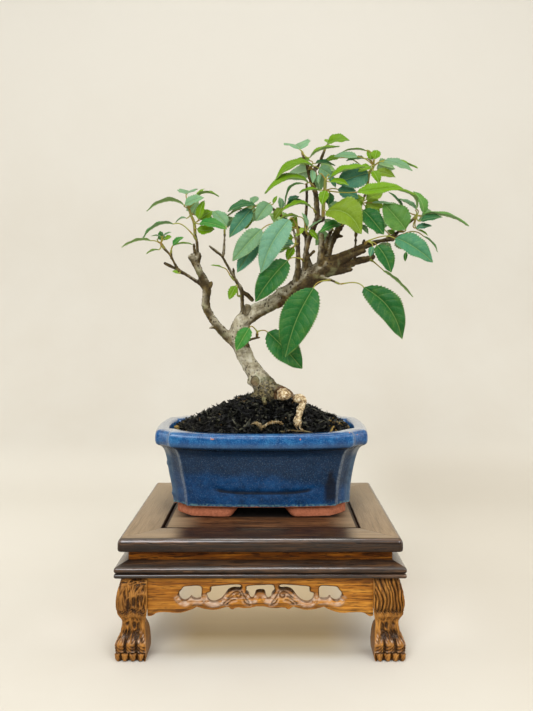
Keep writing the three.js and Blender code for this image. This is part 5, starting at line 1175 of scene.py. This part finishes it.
def soil():
    near = np.linspace(0, 2 * math.pi, 151)[:-1]
    wall = reach_of(pot_ring(SOIL_EDGE, 14.0))
    outer, inner = wall(near), reach_of(pot_ring(POT_FLOOR, 23.2))(near)
    rings = []
    for share in (0.01, *np.linspace(0.04, 1, 40)):
        x, y = HEAP_X + np.cos(near) * outer * share, HEAP_Y + np.sin(near) * outer * share
        rough = np.array([noise.noise(Vector((a, b, 0)) / 2.3) + 0.6 * noise.noise(Vector((a, b, 5)) / 0.9)
                          for a, b in zip(x, y)])
        heap = np.array([lumps(a, b, share) for a, b in zip(x, y)])
        rings.append(np.stack([x, y, soil_height(share) + heap - 0.6 + 1.3 * rough * min(1, (1.02 - share) * 9)], 1))
    for t in (0.5, 1.0):
        reach = outer * (1 - t) + inner * t
        rings.append(np.stack([HEAP_X + np.cos(near) * reach, HEAP_Y + np.sin(near) * reach,
                               0 * near + TABLE + SOIL_EDGE * (1 - t) + SOIL_BASE * t], 1))
    shape = Shape()
    shape.add(*loft(rings), tone=0.0)
    for _ in range(FLAKES):
        angle, share = RNG.uniform(0, 2 * math.pi), math.sqrt(RNG.uniform(0.004, 0.985))
        distance = float(wall(angle))
        share = min(share, 1 - 1.2 / distance)
        x, y = HEAP_X + math.cos(angle) * distance * share, HEAP_Y + math.sin(angle) * distance * share
        z = float(soil_height(share)) + lumps(x, y, share) + RNG.uniform(-0.3, 1.9)
        length = RNG.uniform(3.0, 8.0)
        if distance * (1 - share) < 3.5:
            length = min(length, 2.4)
        heading = Vector((RNG.gauss(0, 1), RNG.gauss(0, 1), RNG.gauss(0, 0.6))).normalized()
        wide, thick = RNG.uniform(1.1, 2.7), RNG.uniform(0.4, 1.1)
        points, faces = flake(Vector((x, y, z)), heading, length, wide, thick)
        tone = RNG.random()
        tone = 0.85 if tone > 0.988 else RNG.uniform(0.6, 0.75) if tone > 0.76 else tone * 0.6
        if x > 58 and y < 5 and RNG.random() < 0.09 or x < -62 and y < 5 and RNG.random() < 0.05:
            tone = 0.95
        shape.add(points, faces, tone=tone)
    shape.piece("soil_flakes", soil_finish(), "soil", ["soil"], sharp=30)


def flake(middle, heading, length, wide, thick):
    """A torn shred of bark: a bent, tapered splinter."""
    side = heading.cross(Vector((RNG.gauss(0, 1), RNG.gauss(0, 1), RNG.gauss(0, 1)))).normalized()
    up = heading.cross(side)
    bend = RNG.uniform(-0.12, 0.12) * length
    rings = []
    for along, width, rise in ((-0.5, 0.35, 0), (-0.1, 1, bend), (0.5, 0.3, -0.2 * bend)):
        centre = middle + heading * (along * length) + up * rise
        rings.append([centre + side * (a * wide * width) + up * (b * thick * max(width, 0.6))
                      for a, b in ((-0.5, 0), (0, 0.5), (0.5, 0), (0, -0.5))])
    return loft(rings)


def glaze_finish():
    """Blue glaze that breaks pale over edges and pools dark in its pressed line, over a bare brown clay foot, with
    painted shade, highlights and reflections on it.
    """
    made = Finish("blue_glaze", Coat_Roughness=0.12, Specular_IOR_Level=0.26)
    x, y, z = made.parts(made.place())
    height, side = z - (BASE_Z + TABLE), made.mark("side")
    cloud, grain = made.noise(9, 5, 0.62, 0.4), made.noise(0.8, 3, 0.7)
    rim = height.band(60.5, 62)
    rim_colour = cloud.ramp((0.3, 2, 50, 100), (0.5, 12, 76, 130), (0.7, 38, 104, 154)).under(
        (grain.band(0.5, 0.7, 0, 0.42), (104, 150, 184)),
        (grain.band(0.5, 0.34, 0, 0.6), (8, 40, 86)),
        (height.band(66.5, 62.5, 0, 0.5), (58, 80, 106)))
    # level: the upper body greyer, the glaze's own change together with a painted reflection
    level = height + (((x + (40 - MIDDLE_X)) / 60).maths("POWER", 2.0) * 4 + made.noise(34, 3, 0.5) * 10)
    from_middle = x - (MIDDLE_X + LINE_MIDDLE)
    above = height - (abs(from_middle / LINE_REACH).maths("POWER", 4.0) * LINE_RISE + 21.2)
    line = above.band(-1.6, -0.6) * above.band(3.4, 0.2) * abs(from_middle).band(45, 36)
    body = cloud.ramp((0.3, 0, 38, 72), (0.5, 2, 50, 92), (0.66, 12, 65, 113), (0.82, 36, 88, 132)).under(
        (level.band(38, 47, 0, 0.8), (12, 33, 54)),
        (grain.band(0.5, 0.72, 0, 0.42), (64, 106, 146)),
        (grain.band(0.48, 0.3, 0, 0.4), (0, 20, 44)),
        (made.cells(1.5).band(0.2, 0.1, 0, 0.28), (150, 172, 192)),
        # painted shade in a band under the rim
        (height.band(49, 55) * height.band(61.5, 59) * 0.5, (14, 30, 48)),
        (rim, rim_colour),
        (made.mark("edge") * made.noise(1.5, 3, 0.6).band(0.35, 0.6, 0.15, 0.6), (138, 150, 160)),
        (made.mark("drip") * 0.85, (6, 12, 24)),
        # the pressed line painted dark: pooled glaze and the painted shadow of its ledge
        (line * abs(y - (MIDDLE_Y + POT_Y)).band(30, 34) * 0.85, (2, 8, 20)),
        # the cut-off corners painted lighter, a painted reflection, and a painted highlight on them just under the rim
        (side * cloud.band(0.3, 0.6, 0.4, 0.85) * height.band(61, 59), (76, 98, 118)),
        (height.band(49, 56) * height.band(62, 59) * (side * 0.7), (146, 148, 148)),
        # painted reflection on the rim's top
        (height.band(73, 74) * cloud.band(0.3, 0.6, 0.1, 0.5), (186, 190, 188)),
        (height.band(12.4, 10.4) * made.noise(2.0, 4, 0.7).band(0.4, 0.6) * 0.75, (104, 140, 138)),
        (rim * made.noise(4.6, 2, 0.4).band(0.735, 0.75), (176, 112, 66)))
    clay = made.noise(2.6, 5, 0.7).ramp((0.25, 140, 82, 56), (0.55, 182, 110, 78), (0.8, 200, 138, 106)).under(
        (made.noise(0.8, 2).band(0.62, 0.72, 0, 0.6), (96, 60, 46)))
    glazed = (made.mark("glaze") + (made.noise(5, 4) - 0.5) * 1.5).band(0.42, 0.58)
    return made.set(Base_Color=clay.under((glazed, body)), Coat_Weight=made.mark("glare") * 0.9,
                    Roughness=(glazed + made.noise(12, 3) * 0.12).band(0, 1.05, 0.85, 0.24),
                    Normal=made.bump(made.noise(4.2, 3, 0.5) * 0.6 + made.noise(0.7, 2) * 0.12, 0.9, 0.6))


def soil_finish():
    made = Finish("soil_shreds", Roughness=0.45, Specular_IOR_Level=0.18)
    shade, tone = made.noise(1.6, 3, 0.7), made.mark("tone")
    brown = tone.ramp((0, 1, 2, 1), (0.5, 5, 6, 4), (0.62, 34, 36, 28), (0.7, 60, 60, 49), (0.76, 92, 90, 74),
                      (0.86, 104, 82, 50), (1, 150, 124, 62))
    dark = shade.ramp((0.3, 1, 1, 1), (0.6, 4, 4, 4), (0.8, 12, 12, 10))
    return made.set(Base_Color=dark.under((tone.band(0.2, 0.75), brown)), Normal=made.bump(shade, 0.35, 0.7))


def drain_screen(name, side):
    """A woven mesh over a drain hole."""
    made = Finish(name, Roughness=0.6)
    shade = made.noise(0.5)
    made.set(Base_Color=shade.ramp((0.3, 25.5, 28.5, 31.5), (0.7, 34, 38, 42)), Normal=made.bump(shade, 0.1, 0.5))
    shape = Shape()
    for d in np.linspace(-11.7, 11.7, 13):
        for half_x, half_y, middle, low, high in ((12, 0.3, (0, d), 0, 0.55), (0.3, 12, (d, 0), 0.45, 1)):
            points, faces = board(half_x, half_y, [(0, low), (0, high)], middle)
            shape.add(points + np.array([side * DRAIN_X, POT_Y, TABLE + 17.3]), faces)
    shape.piece(name, made.material, "screen_plastic", [f"drain_{name}"], sharp=30)


# The tree's wood

def melted(points, faces, size):
    """One closed skin round several overlapping solids: points, normals and faces."""
    mesh = net("melt", points, faces)
    carrier = linked("melt", mesh)
    remesh = carrier.modifiers.new("melt", "REMESH")
    remesh.mode, remesh.voxel_size = "VOXEL", size
    whole = carrier.evaluated_get(bpy.context.evaluated_depsgraph_get()).to_mesh()
    found = []
    for field in ("co", "normal"):
        found.append(np.empty(3 * len(whole.vertices)))
        whole.vertices.foreach_get(field, found[-1])
    faces = [tuple(p.vertices) for p in whole.polygons]
    bpy.data.objects.remove(carrier)
    bpy.data.meshes.remove(mesh)
    return found[0].reshape(-1, 3), found[1].reshape(-1, 3), faces


def relax(points, faces, times):
    """Each point drawn halfway to its neighbours' middle."""
    edges = np.array([(f[k], f[(k + 1) % len(f)]) for f in faces for k in range(len(f))])
    for _ in range(times):
        total, count = np.zeros_like(points), np.zeros(len(points))
        np.add.at(total, edges[:, 0], points[edges[:, 1]])
        np.add.at(count, edges[:, 0], 1)
        points = points * 0.5 + 0.5 * total / np.maximum(count, 1)[:, None]
    return points


def bark_relief(p, thick):
    """How far the bark stands out at a place, from smooth to knobbly with the limb's thickness."""
    p = Vector(p)
    knobs = noise.noise(p / 6.5) * 0.6 + noise.noise(p / 2.6) * 0.42
    plates = noise.turbulence(Vector((p.x / 1.9, p.y / 1.9, p.z / 1.2)), 3, False)
    return knobs * min(1, thick / 5) + (plates - 0.5) * 0.5 * min(1, thick / 3)


def knotty(name, widest):
    """How a thin limb's or a root's surface swells at its joints and lumps."""
    seed, size = len(name), min(1, widest / 1.3)
    beaded, ball = name in BEADED, name in APART

    def swell(centre, out):
        way = centre.x * 0.55 if beaded else centre.z / 5.5
        node = abs(noise.noise(Vector((0, 0, way + seed)))) * 2
        lump = 0.3 * noise.noise(centre / 2.6 + Vector((seed, 0, 0)))
        lump += 0.45 * max(0, 0.35 - node) / 0.35 + 0.22 * noise.noise(centre / 1.2 + out * 0.8)
        lump += 0.8 * beaded * noise.noise(centre / 1.5 + out * 0.5)
        lump += ball * (1.7 * noise.noise(out * 1.7 + centre / 9) + 1.2 * noise.noise(out * 4.2 + centre / 4))
        return size * lump
    return swell


def guide(name, brown, place, radius):
    """What a thick limb says of the bark near a place on it: how brown, how thick, how damp."""
    x, _, z = place
    trunk = name == "trunk"
    far = 0.95 * float(smooth(12, 32, x)) if trunk and z > 250 else 0.0
    damp = float(smooth(209, 199, z)) if trunk else DAMP.get(name, 0.0)
    if name == "root_front" and x < 27:
        far, damp = 0.3, 0.95
    return Vector(place), brown + far, radius, damp


def tree_wood():
    thick, guides, shape = Shape(), [], Shape()
    for line in LIMBS.replace("\n ", "").strip().splitlines():
        name, brown, rows = line.split(" ", 2)
        brown, rows = float(brown), rows_of(rows)
        widest = max(row[3] for row in rows)
        path = spline([(*sight(*row[:3]), row[3]) for row in rows], max(0.55, min(1.4, widest * 0.3)))
        places, radii = path[:, :3], np.maximum(path[:, 3], 0.3)
        ends = [radii[0] * 0.55, *radii[1:-1], radii[-1] * 0.55]
        if widest > THICK and name not in APART:
            guides += [guide(name, brown, p, radius) for p, radius in zip(places[::2].tolist(), radii[::2])]
            thick.add(*tube(places, ends, 20))
            continue
        points, faces = tube(places, ends, 9 if widest < THICK else 26, knotty(name, widest))
        marks = np.tile([0, 0, widest], (len(points), 1))
        if name == "root_knob":
            dents = np.array([noise.noise(Vector(p) / 1.7) for p in points])
            # the knob's lower part painted darker, painted shade, and its dents darker
            marks[:, 1] = smooth(191.5, 187, points[:, 2]) + smooth(0.02, 0.3, dents)
        shape.add(points, faces, bark=(brown, 0, DAMP.get(name, 0)), spots=marks)
    points, normals, faces = melted(np.concatenate(thick.points), thick.faces, GRAIN)
    points = relax(points, faces, 2)
    tree = KDTree(len(guides))
    for k, (place, *_) in enumerate(guides):
        tree.insert(place, k)
    tree.balance()
    said = np.array([rest for _, *rest in guides])
    marks = []
    for p in points:
        _, found, away = zip(*tree.find_n(p, 5))
        near = said[list(found)]
        weights = 1 / (np.array(away) - 0.9 * near[:, 1] + 12) ** 4
        marks.append(weights @ near / weights.sum())
    brown, wide, damp = np.array(marks).T
    x, y, z = points.T
    before = y < 0
    scar = np.exp(-(((x - SCAR.x) / 4.6) ** 2 + ((z - SCAR.z) / 5.6) ** 2)) * before
    ring = np.where(before, np.hypot(x - RING.x, z - RING.z), 99)
    # painted shadow: a dark ring round the root's knob, measured across the front view
    knob_shadow = np.exp(-((np.hypot(x - KNOB.x, z - KNOB.z) - 7) / 1.8) ** 2) * before
    relief = np.array([bark_relief(p, w) for p, w in zip(points, wide)])
    relief += 0.8 * np.exp(-((scar - 0.42) / 0.13) ** 2) - 0.5 * smooth(0.5, 0.62, scar)
    relief += 0.7 * np.exp(-((ring - 2.6) / 0.9) ** 2) - 0.6 * np.exp(-(ring / 1.4) ** 2)
    points = points + normals * (relief - 0.15)[:, None]
    # painted shade: the bark browner on the limbs' undersides high up, and on the sides and backs of the thick wood
    shade = np.clip(-0.75 * (normals[:, 2] - 0.35 * normals[:, 0]), -0.2, 0.65) * smooth(230, 262, points[:, 2])
    brown = brown + shade + 0.55 * smooth(-0.42, 0.1, normals[:, 1])
    shape.add(points, faces, bark=np.stack([brown, np.clip(relief, -1, 1), damp], 1),
              spots=np.stack([scar, np.maximum(np.exp(-(ring / 3.4) ** 2), knob_shadow), wide], 1))
    shape.piece("tree_bark", bark_finish(), "bark", ["tree_wood"], sharp=80)


def bark_finish():
    """Pale, flaking bark with dark specks, browner on young limbs and, as painted shade, on undersides and sides, and
    damp on the roots.
    """
    made = Finish("crabapple_bark", Roughness=0.8, Specular_IOR_Level=0.22)
    brown, relief, root = made.parts(made.mark("bark", "Vector"))
    scar, ring, _ = made.parts(made.mark("spots", "Vector"))
    cloud, crumbs = made.noise(7, 6, 0.6, 0.3), made.noise(2.4, 4, 0.7)
    flecks = made.noise(0.9, 4, 0.7, stretch=(1.6, 1.6, 0.7))
    share = brown + (made.noise(11, 3) - 0.5) * 0.7
    specks = made.cells(3.0, stretch=(1.2, 1, 0.8)).band(0.36, 0.26)
    specks = specks * made.noise(8, 2, stretch=(1.5, 1.5, 0.5)).band(0.45, 0.52)
    splits = made.noise(1.7, 3, 0.6, stretch=(1.5, 1.5, 0.22))
    dark = cloud.ramp((0.25, 26, 20, 8), (0.45, 60, 49, 24), (0.6, 97, 82, 46), (0.8, 146, 127, 82))
    cream = (crumbs * 0.65 + flecks * 0.35).ramp((0.42, 74, 46, 20), (0.47, 156, 120, 70), (0.53, 214, 188, 138),
                                                 (0.59, 248, 238, 210))
    dirt = crumbs.ramp((0.42, 18, 14, 7), (0.5, 58, 50, 27), (0.58, 126, 114, 74))
    pale = cloud.ramp((0.25, 126, 116, 90), (0.42, 164, 156, 130), (0.58, 188, 182, 160), (0.78, 212, 208, 195))
    colour = pale.under(
        (share.band(0.25, 0.75), dark),
        (share.band(0.7, 1.15, 0, 0.62), (46, 34, 15)),
        ((flecks - relief * 0.12).band(0.58, 0.72, 0, 0.24), (86, 68, 44)),
        (specks * 0.9, (40, 26, 14)),
        (splits.band(0.6, 0.68, 0, 0.5), (92, 66, 38)),
        (root.band(-0.1, -0.7, 0, 0.78), cream),
        (relief.band(-0.15, -0.8, 0, 0.45), (70, 54, 30)),
        (root.band(0, 0.7) * made.noise(4, 4).band(0.3, 0.6, 0.5, 1) * 0.9, dirt),
        (scar.band(0.5, 0.6, 0, 0.75), flecks.ramp((0.35, 72, 54, 30), (0.6, 140, 118, 84))),
        (scar.band(0.42, 0.5) * scar.band(0.62, 0.54) * 0.8, (48, 34, 16)),
        # a dark ring round the cut stub, and the painted shade round and under the knob
        (ring * 0.75, (96, 64, 36)),
        (made.noise(14, 2).band(0.58, 0.7) * 0.35, (132, 136, 96)))
    surface = flecks * -0.7 + made.noise(0.45, 3, 0.7) * 0.35
    return made.set(Base_Color=colour, Normal=made.bump(surface, 0.6, 1.0))


# The leaves

def blade_frame(base, tip, roll):
    """The blade's axes: along it, out of its upper face, and across it, as the CAD leaf has them."""
    along = (tip - base).normalized()
    facing = Vector((0, -1, 0))
    facing -= along * facing.dot(along)
    upward = Vector((0, 0, 1))
    upward = (upward - along * upward.dot(along)).normalized()
    end_on = facing.length < 0.5
    angle = math.radians(roll - 90 if end_on else roll)
    facing.normalize()
    sideways = along.cross(upward) if end_on else along.cross(facing)
    if not end_on and sideways.z < 0:
        sideways.negate()
    normal = (upward if end_on else facing) * math.cos(angle) + sideways * math.sin(angle)
    return along, normal, normal.cross(along)


def blade(base, tip, width, roll, arch, sweep, tint):
    """A leaf blade's points, faces and marks: veins sunk in its upper face, its margin toothed and waved."""
    length = (tip - base).length
    along, normal, across = (np.array(v) for v in blade_frame(base, tip, roll))
    base, tip = np.array(base), np.array(tip)
    rows, columns = max(16, 2 * round(length / 1.75)) - 1, 2 * HALF_COLUMNS + 1
    veins = 4 + min(4, length / 12)
    u = np.linspace(-1, 1, columns)
    u = np.sign(u) * np.abs(u) ** 0.9
    far = np.abs(u)
    tau = np.linspace(0, 1, rows + 2)[1:-1, None]
    slant = np.minimum(0.26, 0.4 * width / length) * np.sin(math.pi * tau) ** 0.8
    t = np.clip(tau + slant * far ** 1.5 - slant * 0.15 * far, 0.004, 0.996)
    half = 0.5 * width * np.sin(np.pi * t ** 0.82) ** 0.74 * (1 - 0.12 * t) * (1 - 0.3 * smooth(0.84, 1, t))
    tooth = np.where(np.arange(rows) % 2, 1.0, -1.0)[:, None] * min(0.7, 0.014 * length + 0.12)
    reach = half + tooth * far ** 7 * np.minimum(1, half / 3)
    out = reach * u
    phase = tau * veins + np.where(u < 0, 0.35, 0)
    lateral = np.exp(-(((phase + 0.5) % 1 - 0.5) / 0.11) ** 2) * np.clip(1.15 - far, 0, 1)
    midrib = np.exp(-(out / 0.55) ** 2)
    scale = min(1, length / 40)
    seeds = [RNG.uniform(0, 6.3) for _ in range(4)]
    waves = RNG.uniform(2.0, 3.2)
    ripple = 0.035 * width * np.sin(2 * math.pi * waves * t + seeds[0] + np.sign(u) * seeds[1]) * far ** 2
    cup = np.abs(reach) * math.sin(FOLD) * far ** 0.45
    puff = 0.22 * scale * np.abs(np.sin(math.pi * phase)) ** 0.8 * np.sin(math.pi * far) ** 0.7
    drop = 0.05 * width * np.sin(math.pi * t) * np.sin(seeds[2]) * u
    tip_curl = -0.06 * length * smooth(0.72, 1.0, t) * RNG.uniform(-0.3, 1.0)
    upper = arch * np.sin(math.pi * t ** 0.75) + cup + ripple + puff + drop + tip_curl
    upper = upper - (0.22 * lateral + 0.3 * midrib) * scale
    lower = upper - 2 * SKIN * (1 - far ** 4) - (0.25 * lateral + 0.75 * midrib * (1 - 0.7 * t)) * scale
    aside = sweep * np.sin(math.pi * t) + out * math.cos(FOLD)
    grids = [base + along * (t * length)[..., None] + normal * height[..., None] + across * aside[..., None]
             for height in (upper, lower)]
    # the lower face shares the upper one's margin
    size = rows * columns
    above = 2 + np.arange(size).reshape(rows, columns)
    below = above.copy()
    below[:, 1:-1] = 2 + size + np.arange(rows * (columns - 2)).reshape(rows, -1)
    points = [[base, tip + normal * float(tip_curl[-1, HALF_COLUMNS])], grids[0].reshape(-1, 3),
              grids[1][:, 1:-1].reshape(-1, 3)]
    vein = np.stack([out, phase, np.broadcast_to(far, out.shape)], -1)
    veined = [[(0, 0, 0), (0, veins, 1)], vein.reshape(-1, 3), vein[:, 1:-1].reshape(-1, 3)]
    under = np.repeat([0.0, 1.0], [2 + size, rows * (columns - 2)])
    faces = []
    for index, way in ((above, -1), (below, 1)):
        for c in range(columns - 1):
            a, b = index[:, c].tolist(), index[:, c + 1].tolist()
            strip = [(0, a[0], b[0]), (1, b[-1], a[-1])]
            strip += [(a[r], a[r + 1], b[r + 1], b[r]) for r in range(rows - 1)]
            faces += [face[::way] for face in strip]
    points, shade = np.concatenate(points), 1 + 0.1 * math.sin(seeds[3])
    return points, outward(points, faces), {"vein": np.concatenate(veined), "under": under,
                                            "tint": [min(1, c * shade) for c in tint]}


def leafy_shoots():
    leaf = leaf_finish()
    shares = np.linspace(0, 1, 14)
    for block in SHOOTS.strip().split("\n\n"):
        head, *lines = block.splitlines()
        name, stem = head.split(" | ")
        rows = rows_of(stem)
        joints = [sight(*row[:3]) for row in rows]
        shape = Shape()

        def add_round(centres, radii, sides, colour):
            shape.add(*tube(centres, radii, sides), tint=linear(colour)[:3], kind=1.0, vein=(0, 0, 0), under=0.0)

        path = spline([(*joint, row[3]) for joint, row in zip(joints, rows)], 0.9)
        radii = np.maximum(path[:, 3] * 0.92, 0.45)
        add_round(path[:, :3], [*radii[:-1], radii[-1] * 0.6], 10, (126, 130, 62))
        for line in lines:
            words = line.split()
            tone, sweep = words[9], float(words[10]) if len(words) > 10 else 0.0
            values = [float(v) for v in words[:9]]
            base, tip = sight(*values[:3]), sight(*values[3:6])
            points, faces, marks = blade(base, tip, *values[6:], sweep, linear(TONES[tone])[:3])
            shape.add(points, faces, kind=0.0, **marks)
            joint = min(joints[1:], key=lambda p: (p - base).length)
            start = joint + (base - joint).normalized() * 0.3
            along = (tip - base).normalized()
            lead = base - along * (0.35 * (base - start).length)
            bend, end = start.lerp(lead, 0.6), base + along * 0.5
            curve = [start * (1 - t) ** 3 + bend * 3 * t * (1 - t) ** 2 + lead * 3 * t * t * (1 - t) + end * t ** 3
                     for t in shares]
            add_round(curve, STALK_RADIUS * (1.25 - 0.35 * smooth(0, 0.25, shares) - 0.1 * shares), 8, (146, 150, 66))
        shape.piece(f"{name}_leaves", leaf, "leaf", [name], sharp=70)


def leaf_finish():
    made = Finish("crabapple_leaf", Specular_IOR_Level=0.13)
    across, phase, outer = made.parts(made.mark("vein", "Vector"))
    tint, under, kind = made.mark("tint", "Vector"), made.mark("under"), made.mark("kind")
    speck = made.noise(1.3, 4, 0.65)
    near = abs((phase + 0.5).maths("FRACT") - 0.5)
    lateral = near.band(0.02, 0.06, 1, 0) * outer.band(0.75, 1, 1, 0)
    rib = abs(across).band(0.18, 0.6, 1, 0)
    vein = (lateral * 0.17).maths("MAXIMUM", rib * 0.75) * (1.0 - kind)
    mesh = made.cells(1.3, "DISTANCE_TO_EDGE").band(0.02, 0.1, 0.14, 0) * (1.0 - kind)
    pale = tint.under((0.42, (182, 206, 126)))
    colour = tint.under(
        (made.noise(8, 4, 0.6).band(0.42, 0.7, 0, 0.5), tint.under((0.15, (158, 182, 48)))),
        (speck.band(0.4, 0.7, 0, 0.35), tint.under((0.5, (12, 36, 10)))),
        (mesh, pale), (vein, pale), (outer.band(0.94, 1) * 0.3, (158, 166, 74)))
    colour = colour.under(
        (under * 0.8, colour.under((0.55, (158, 184, 140)))),
        (kind * 0.6, tint.under((made.noise(6, 2).band(0.4, 0.65), (142, 92, 52)))))
    return made.set(Base_Color=colour, Roughness=under.band(0, 1, 0.44, 0.65),
                    Normal=made.bump(speck * 0.5 + mesh * -0.9, 0.14, 0.6))


# The stage, the light and the camera

def stage():
    """A cream sweep of paper under and behind the stand, with painted light and shadow on it."""
    flat, bend = 420, 380
    profile = [(-1500, 0), (-600, 0), (0, 0), (flat, 0)]
    profile += [(flat + bend * math.sin(a), bend * (1 - math.cos(a))) for a in np.linspace(0.12, math.pi / 2, 12)]
    profile += [(flat + bend, 1400)]
    points = [(x, y, z + FLOOR) for y, z in profile for x in (-2200, 2200)]
    mesh = net("sweep", put(points), [(k, k + 1, k + 3, k + 2) for k in range(0, len(points) - 2, 2)])
    mesh.shade_smooth()
    made = Finish("cream_paper", Roughness=0.85, Specular_IOR_Level=0.2)
    x, y, z = made.parts(made.place())
    aside, low = abs(x - MIDDLE_X), z.band(60, 10)
    lit = (y.band(-150, 330) * low).maths("MAXIMUM", z.band(280, 850, 0, 0.8))
    # painted warm shadow under the stand, darkest a little behind its front
    stand_shadow = ((y + 100) / 200).ramp((0, 208, 204, 192), (0.15, 199, 183, 150), (0.26, 195, 172, 130),
                                         (0.38, 225, 205, 167), (0.5, 219, 202, 172), (1, 212, 200, 176))
    # painted light on the paper further back and up the wall and beside the stand, painted shade on the right, and the
    # painted shadow under the stand
    paper = made.noise(120, 3).ramp((0.3, 207, 202, 190), (0.7, 210, 206, 195)).under(
        (lit, (219, 215, 204)),
        (aside.band(220, 130) * low * y.band(-90, -20) * y.band(260, 100), (222, 217, 206)),
        (x.band(90, 200) * low * 0.8, (204, 198, 185)),
        (aside.band(94, 48) * low * y.band(190, 90) * y.band(-100, -88), stand_shadow))
    mesh.materials.append(made.set(Base_Color=paper))
    sweep = linked("sweep", mesh)


def area_light(name, place, target, size, power, colour):
    light = bpy.data.lights.new(name, "AREA")
    light.shape, light.size, light.energy, light.color = "DISK", size, power, colour
    holder = linked(name, light)
    holder.location = put(place)[0]
    aim = Vector(put(target)[0]) - holder.location
    holder.rotation_euler = aim.to_track_quat("-Z", "Y").to_euler()
    holder.visible_camera = False


def room():
    """White light from above and behind, and a dim room in front."""
    made = Finish("room", bpy.data.worlds.new("room"), "Background", Color=(255, 243, 220))
    _, back, up = made.parts(made.node("TexCoord", {}, "Generated"))
    strength = made.node("MapRange", {0: up + back * 0.5, 1: -0.5, 2: 1, 3: 0.08, 4: 0.78})
    made.set(Strength=strength)
    bpy.context.scene.world = made.material


def light_and_camera():
    scene = bpy.context.scene
    scene.view_settings.view_transform = "Standard"
    room()
    white, glow = (0.93, 0.95, 1.0), (1.0, 0.9, 0.72)
    for name, *rest in (("key", (-480, -1560, 1240), (0, 0, 190), 0.9, 22, white),
                        ("fill", (860, -1460, 1080), (0, 0, 240), 0.9, 12.9, white),
                        ("top", (20, -420, 1500), (0, 0, 120), 0.45, 6.2, white),
                        ("left", (-1300, 0, 420), (0, 0, 100), 0.8, 4.3, white),
                        ("right", (1300, -100, 420), (0, 0, 100), 0.8, 4.3, white),
                        *((f"glow_{x}", (x, 46, 58), (x, 40, 0), 0.07, 0.02, glow) for x in (-60, 0, 60))):
        area_light(name, *rest)
    camera = bpy.data.cameras.new("camera")
    camera.lens, camera.sensor_width = 37.97, 36
    camera.shift_x, camera.shift_y = -4.5 / PHOTO_HEIGHT, -40.5 / PHOTO_HEIGHT
    holder = linked("camera", camera)
    holder.location = put(VIEWPOINT)[0]
    holder.rotation_euler = (math.pi / 2, 0, 0)
    scene.camera = holder


DARK = [wood("dark_wood_x", 0, DARK_WOOD, streak=3.0)[0].material,
        wood("dark_wood_y", 1, DARK_WOOD, gloss=0.4, streak=1.6, contrast=0.6)[0].material]
PANEL = panel_finish()
HONEY = wood("waist_wood", 0, WAIST_WOOD, gloss=0.45, sheen=0.1)[0].material
CARVED = [carved("apron_wood_x", 0, HONEY_WOOD), carved("apron_wood_y", 1, HONEY_WOOD),
          carved("leg_wood", 2, LEG_WOOD)]
stand_top()
stand_mouldings()
for turns, side in enumerate(SIDES):
    apron(side, turns)
for corner, sx, sy in (("front_left", -1, -1), ("front_right", 1, -1), ("back_right", 1, 1), ("back_left", -1, 1)):
    leg(corner, sx, sy)
pot()
soil()
drain_screen("screen_left", -1)
drain_screen("screen_right", 1)
batten()
tree_wood()
leafy_shoots()
stage()
light_and_camera()
